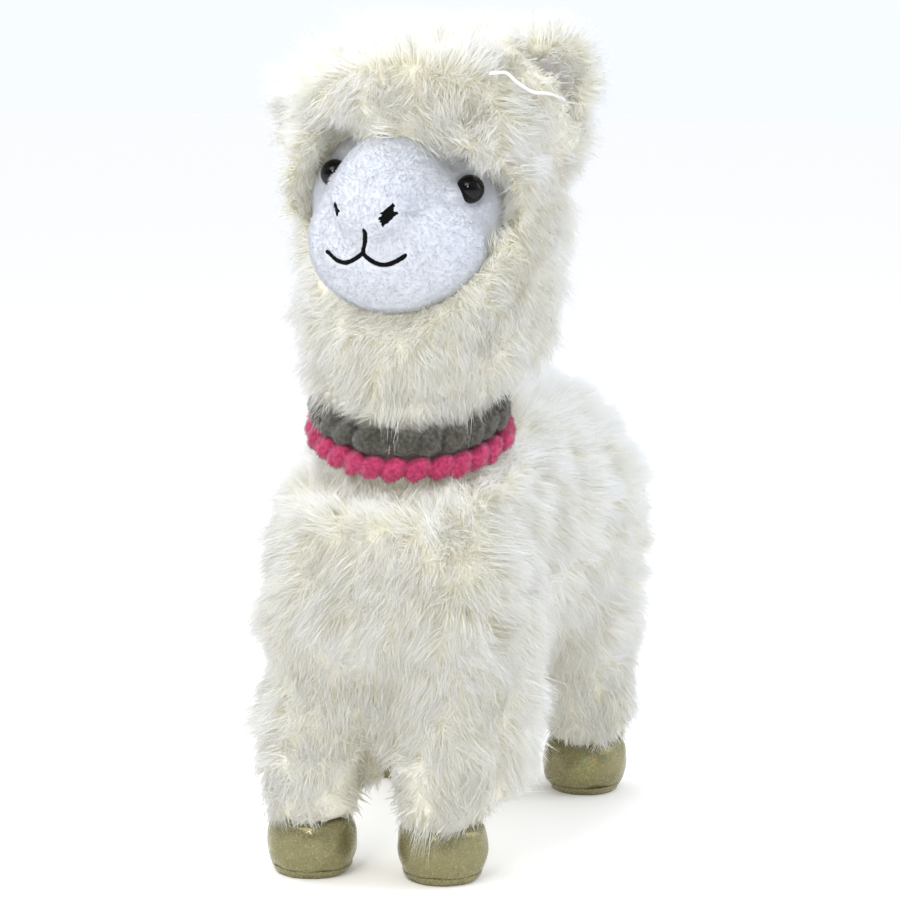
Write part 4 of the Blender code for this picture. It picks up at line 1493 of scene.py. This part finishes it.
# painted reflection: the rainbow patch is put on the side of the hoof that faces the camera
outwards = Vector((away.x, away.y, 0)).normalized()
spot = middle_of("hoof_rear_left") + outwards * radius       # all hooves are about as wide
area = add(tree, 'ShaderNodeVectorMath', {"operation": 'DISTANCE'})
area.inputs[1].default_value = spot
tree.links.new(where, area.inputs[0])
patch = ramp(tree, area.outputs["Value"], [(0.6 * RAINBOW_REFLECTION_RADIUS, "FFFFFF"), (RAINBOW_REFLECTION_RADIUS, "000000")])
spark = ramp(tree, grey_level.outputs["Blue"], [(0.8, "000000"), (0.82, "FFFFFF")])
share = add(tree, 'ShaderNodeMath', {"operation": 'MULTIPLY'})
tree.links.new(patch, share.inputs[0])
tree.links.new(spark, share.inputs[1])
hues = ramp(tree, grey_level.outputs["Green"],
            [(0, "D0452E"), (0.3, "E0B93C"), (0.6, "8FBF4A"), (1, "4FA9A6")])
mixed = add(tree, 'ShaderNodeMix', {"data_type": 'RGBA'})
for source, socket in ((share.outputs[0], 0), (cloth_colour, 6), (hues, 7)):
    tree.links.new(source, mixed.inputs[socket])
shine = ramp(tree, grey_level.outputs["Green"], [(0.2, "505050"), (0.8, "B0B0B0")])
tree.links.new(mixed.outputs[2], shader.inputs["Base Color"])
tree.links.new(shine, shader.inputs["Roughness"])
dented(tree, shader, flecks.outputs["Distance"], 0.35, 0.1 * MM)
for piece in hoof_pieces:
    piece.data.materials.append(foil)
print("hooves finished")

# %% [markdown]
# ## Fleece finish
# The pile is undyed white polyester over a cream backing. Light that goes in bounces between the
# fibres and comes out warmer, so the roots are painted cream, as painted shade, and the tips almost
# white. The tuft's own attribute drives that change, and the skin wears the colour of the roots. A
# renderer stops following light after a few bounces, where real white pile passes it on for dozens,
# so a faint warm glow stands for the rest and keeps the crevices from going grey.

# %% Fleece
FIBRE_GLOW = 0.09
TINT_STRENGTH = 0.8
BACKING_MOTTLE, BACKING_LOOPS = 5.56 * MM, 1.11 * MM

pile, tree, shader = finish_of("long-pile polyester fleece, brushed", Roughness=0.7, IOR=1.5,
                               Specular_IOR_Level=0.15, Subsurface_Weight=0.7,
                               Subsurface_Scale=0.5 * MM, Emission_Color=linear("F2ECCE"),
                               Emission_Strength=FIBRE_GLOW)
shader.inputs["Subsurface Radius"].default_value = (1.0, 0.95, 0.85)
along = add(tree, 'ShaderNodeAttribute', {"attribute_name": "along"}).outputs["Fac"]
tint = add(tree, 'ShaderNodeAttribute', {"attribute_name": "tint"}).outputs["Fac"]
# painted shade: the roots are painted cream, for the warmer light deep in the pile, and the tips almost
# white
body_colour = ramp(tree, along, [(0, "F1ECD8"), (0.25, "F6F4E8"), (0.6, "FAFAF7"), (1, "FBFDFF")])
warm = add(tree, 'ShaderNodeMix', {"data_type": 'RGBA', "blend_type": 'MULTIPLY'})
tree.links.new(body_colour, warm.inputs[6])
# painted shade: the tint darkens the pile towards cream in random patches, and by lock and by tuft, for
# the shade between locks
tree.links.new(ramp(tree, tint, [(0, "F4F1E0"), (0.5, "FBFAF2"), (1, "FFFFFF")]), warm.inputs[7])
warm.inputs[0].default_value = TINT_STRENGTH
tree.links.new(warm.outputs[2], shader.inputs["Base Color"])
for piece in fleece_pieces:
    piece.data.materials.append(pile)

backing, tree, shader = finish_of("fleece backing, knitted", Roughness=0.9, Sheen_Weight=0.2)
mottled(tree, shader, BACKING_MOTTLE, "EEE9D6", "F4F1E4", detail=4.0)
loops = add(tree, 'ShaderNodeTexVoronoi', {"Scale": 1 / BACKING_LOOPS}, {"Vector": object_place(tree)})
dented(tree, shader, loops.outputs["Distance"], 0.6, 0.5 * MM)
for piece in (skin, *ear_skins.values()):
    piece.data.materials.append(backing)
print("fleece finished")

# %% [markdown]
# ## Floor and light
# The toy stands on a light table, a sheet of frosted acrylic that is lit faintly from below, in a light
# tent, as in a small product studio. The tent glows all round and most of all overhead, so shadows
# stay faint. Its open front is dimmer, which keeps some shade between the locks of the chest. Two
# softboxes light the sides, a near one above the head brings out the fringe and the brow, and a
# small lamp gives the eyes their glint.

# %% Light table
TABLE_GLOW = 0.14

floor_mesh = bpy.data.meshes.new("floor")
bm = bmesh.new()
bmesh.ops.create_grid(bm, x_segments=1, y_segments=1, size=6)
bm.to_mesh(floor_mesh)
bm.free()
floor = bpy.data.objects.new("floor", floor_mesh)
bpy.context.scene.collection.objects.link(floor)
floor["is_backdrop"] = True
sheet, tree, shader = finish_of("white acrylic sheet, frosted", Roughness=0.9,
                                Base_Color=linear("FAF7F2"), Emission_Color=linear("FFFFFF"),
                                Emission_Strength=TABLE_GLOW)
floor_mesh.materials.append(sheet)
print("light table laid")

# %% Light tent
SKY_LOW, SKY_HIGH = 1.08, 1.35       # how bright the tent is at the floor and overhead
TENT_MOUTH = 0.28                    # how bright its open front is, beside its back

world = bpy.data.worlds.new("studio")
bpy.context.scene.world = world
world.use_nodes = True
tree = world.node_tree
split = add(tree, 'ShaderNodeSeparateXYZ',
            links={"Vector": add(tree, 'ShaderNodeTexCoord').outputs["Generated"]})
height = add(tree, 'ShaderNodeMapRange', {"To Min": SKY_LOW, "To Max": SKY_HIGH},
             {"Value": split.outputs["Z"]})
sky = tree.nodes["Background"]
sky.inputs["Color"].default_value = linear("F0F5FF")
depth = add(tree, 'ShaderNodeMapRange', {"From Min": -0.8, "From Max": 0.2, "To Min": TENT_MOUTH},
            {"Value": split.outputs["Y"]})
strength = add(tree, 'ShaderNodeMath', {"operation": 'MULTIPLY'})
tree.links.new(height.outputs["Result"], strength.inputs[0])
tree.links.new(depth.outputs["Result"], strength.inputs[1])
tree.links.new(strength.outputs[0], sky.inputs["Strength"])
print("tent lit")

# %% Softboxes


def softbox(name, location, size, watts, colour="FFFFFF"):
    lamp = bpy.data.lights.new(name, 'AREA')
    lamp.size = size
    lamp.energy = watts
    lamp.color = linear(colour)[:3]
    holder = bpy.data.objects.new(name, lamp)
    bpy.context.scene.collection.objects.link(holder)
    holder.location = location
    holder.rotation_euler = (Vector(location) - aim).to_track_quat('Z', 'Y').to_euler()


softbox("left", (-1.2, 0.1, 0.9), 0.9, 6, "EEF4FF")
softbox("right", (1.2, 0.3, 0.9), 0.9, 6, "EEF4FF")
softbox("front", (-0.1, -0.55, 0.8), 0.4, 2.8, "FFFEFA")
softbox("glint", (0, -1.2, 0.75), 0.2, 2.5)
bpy.context.scene.view_settings.view_transform = 'Standard'
print("studio ready")

# %% Finish
low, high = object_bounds()
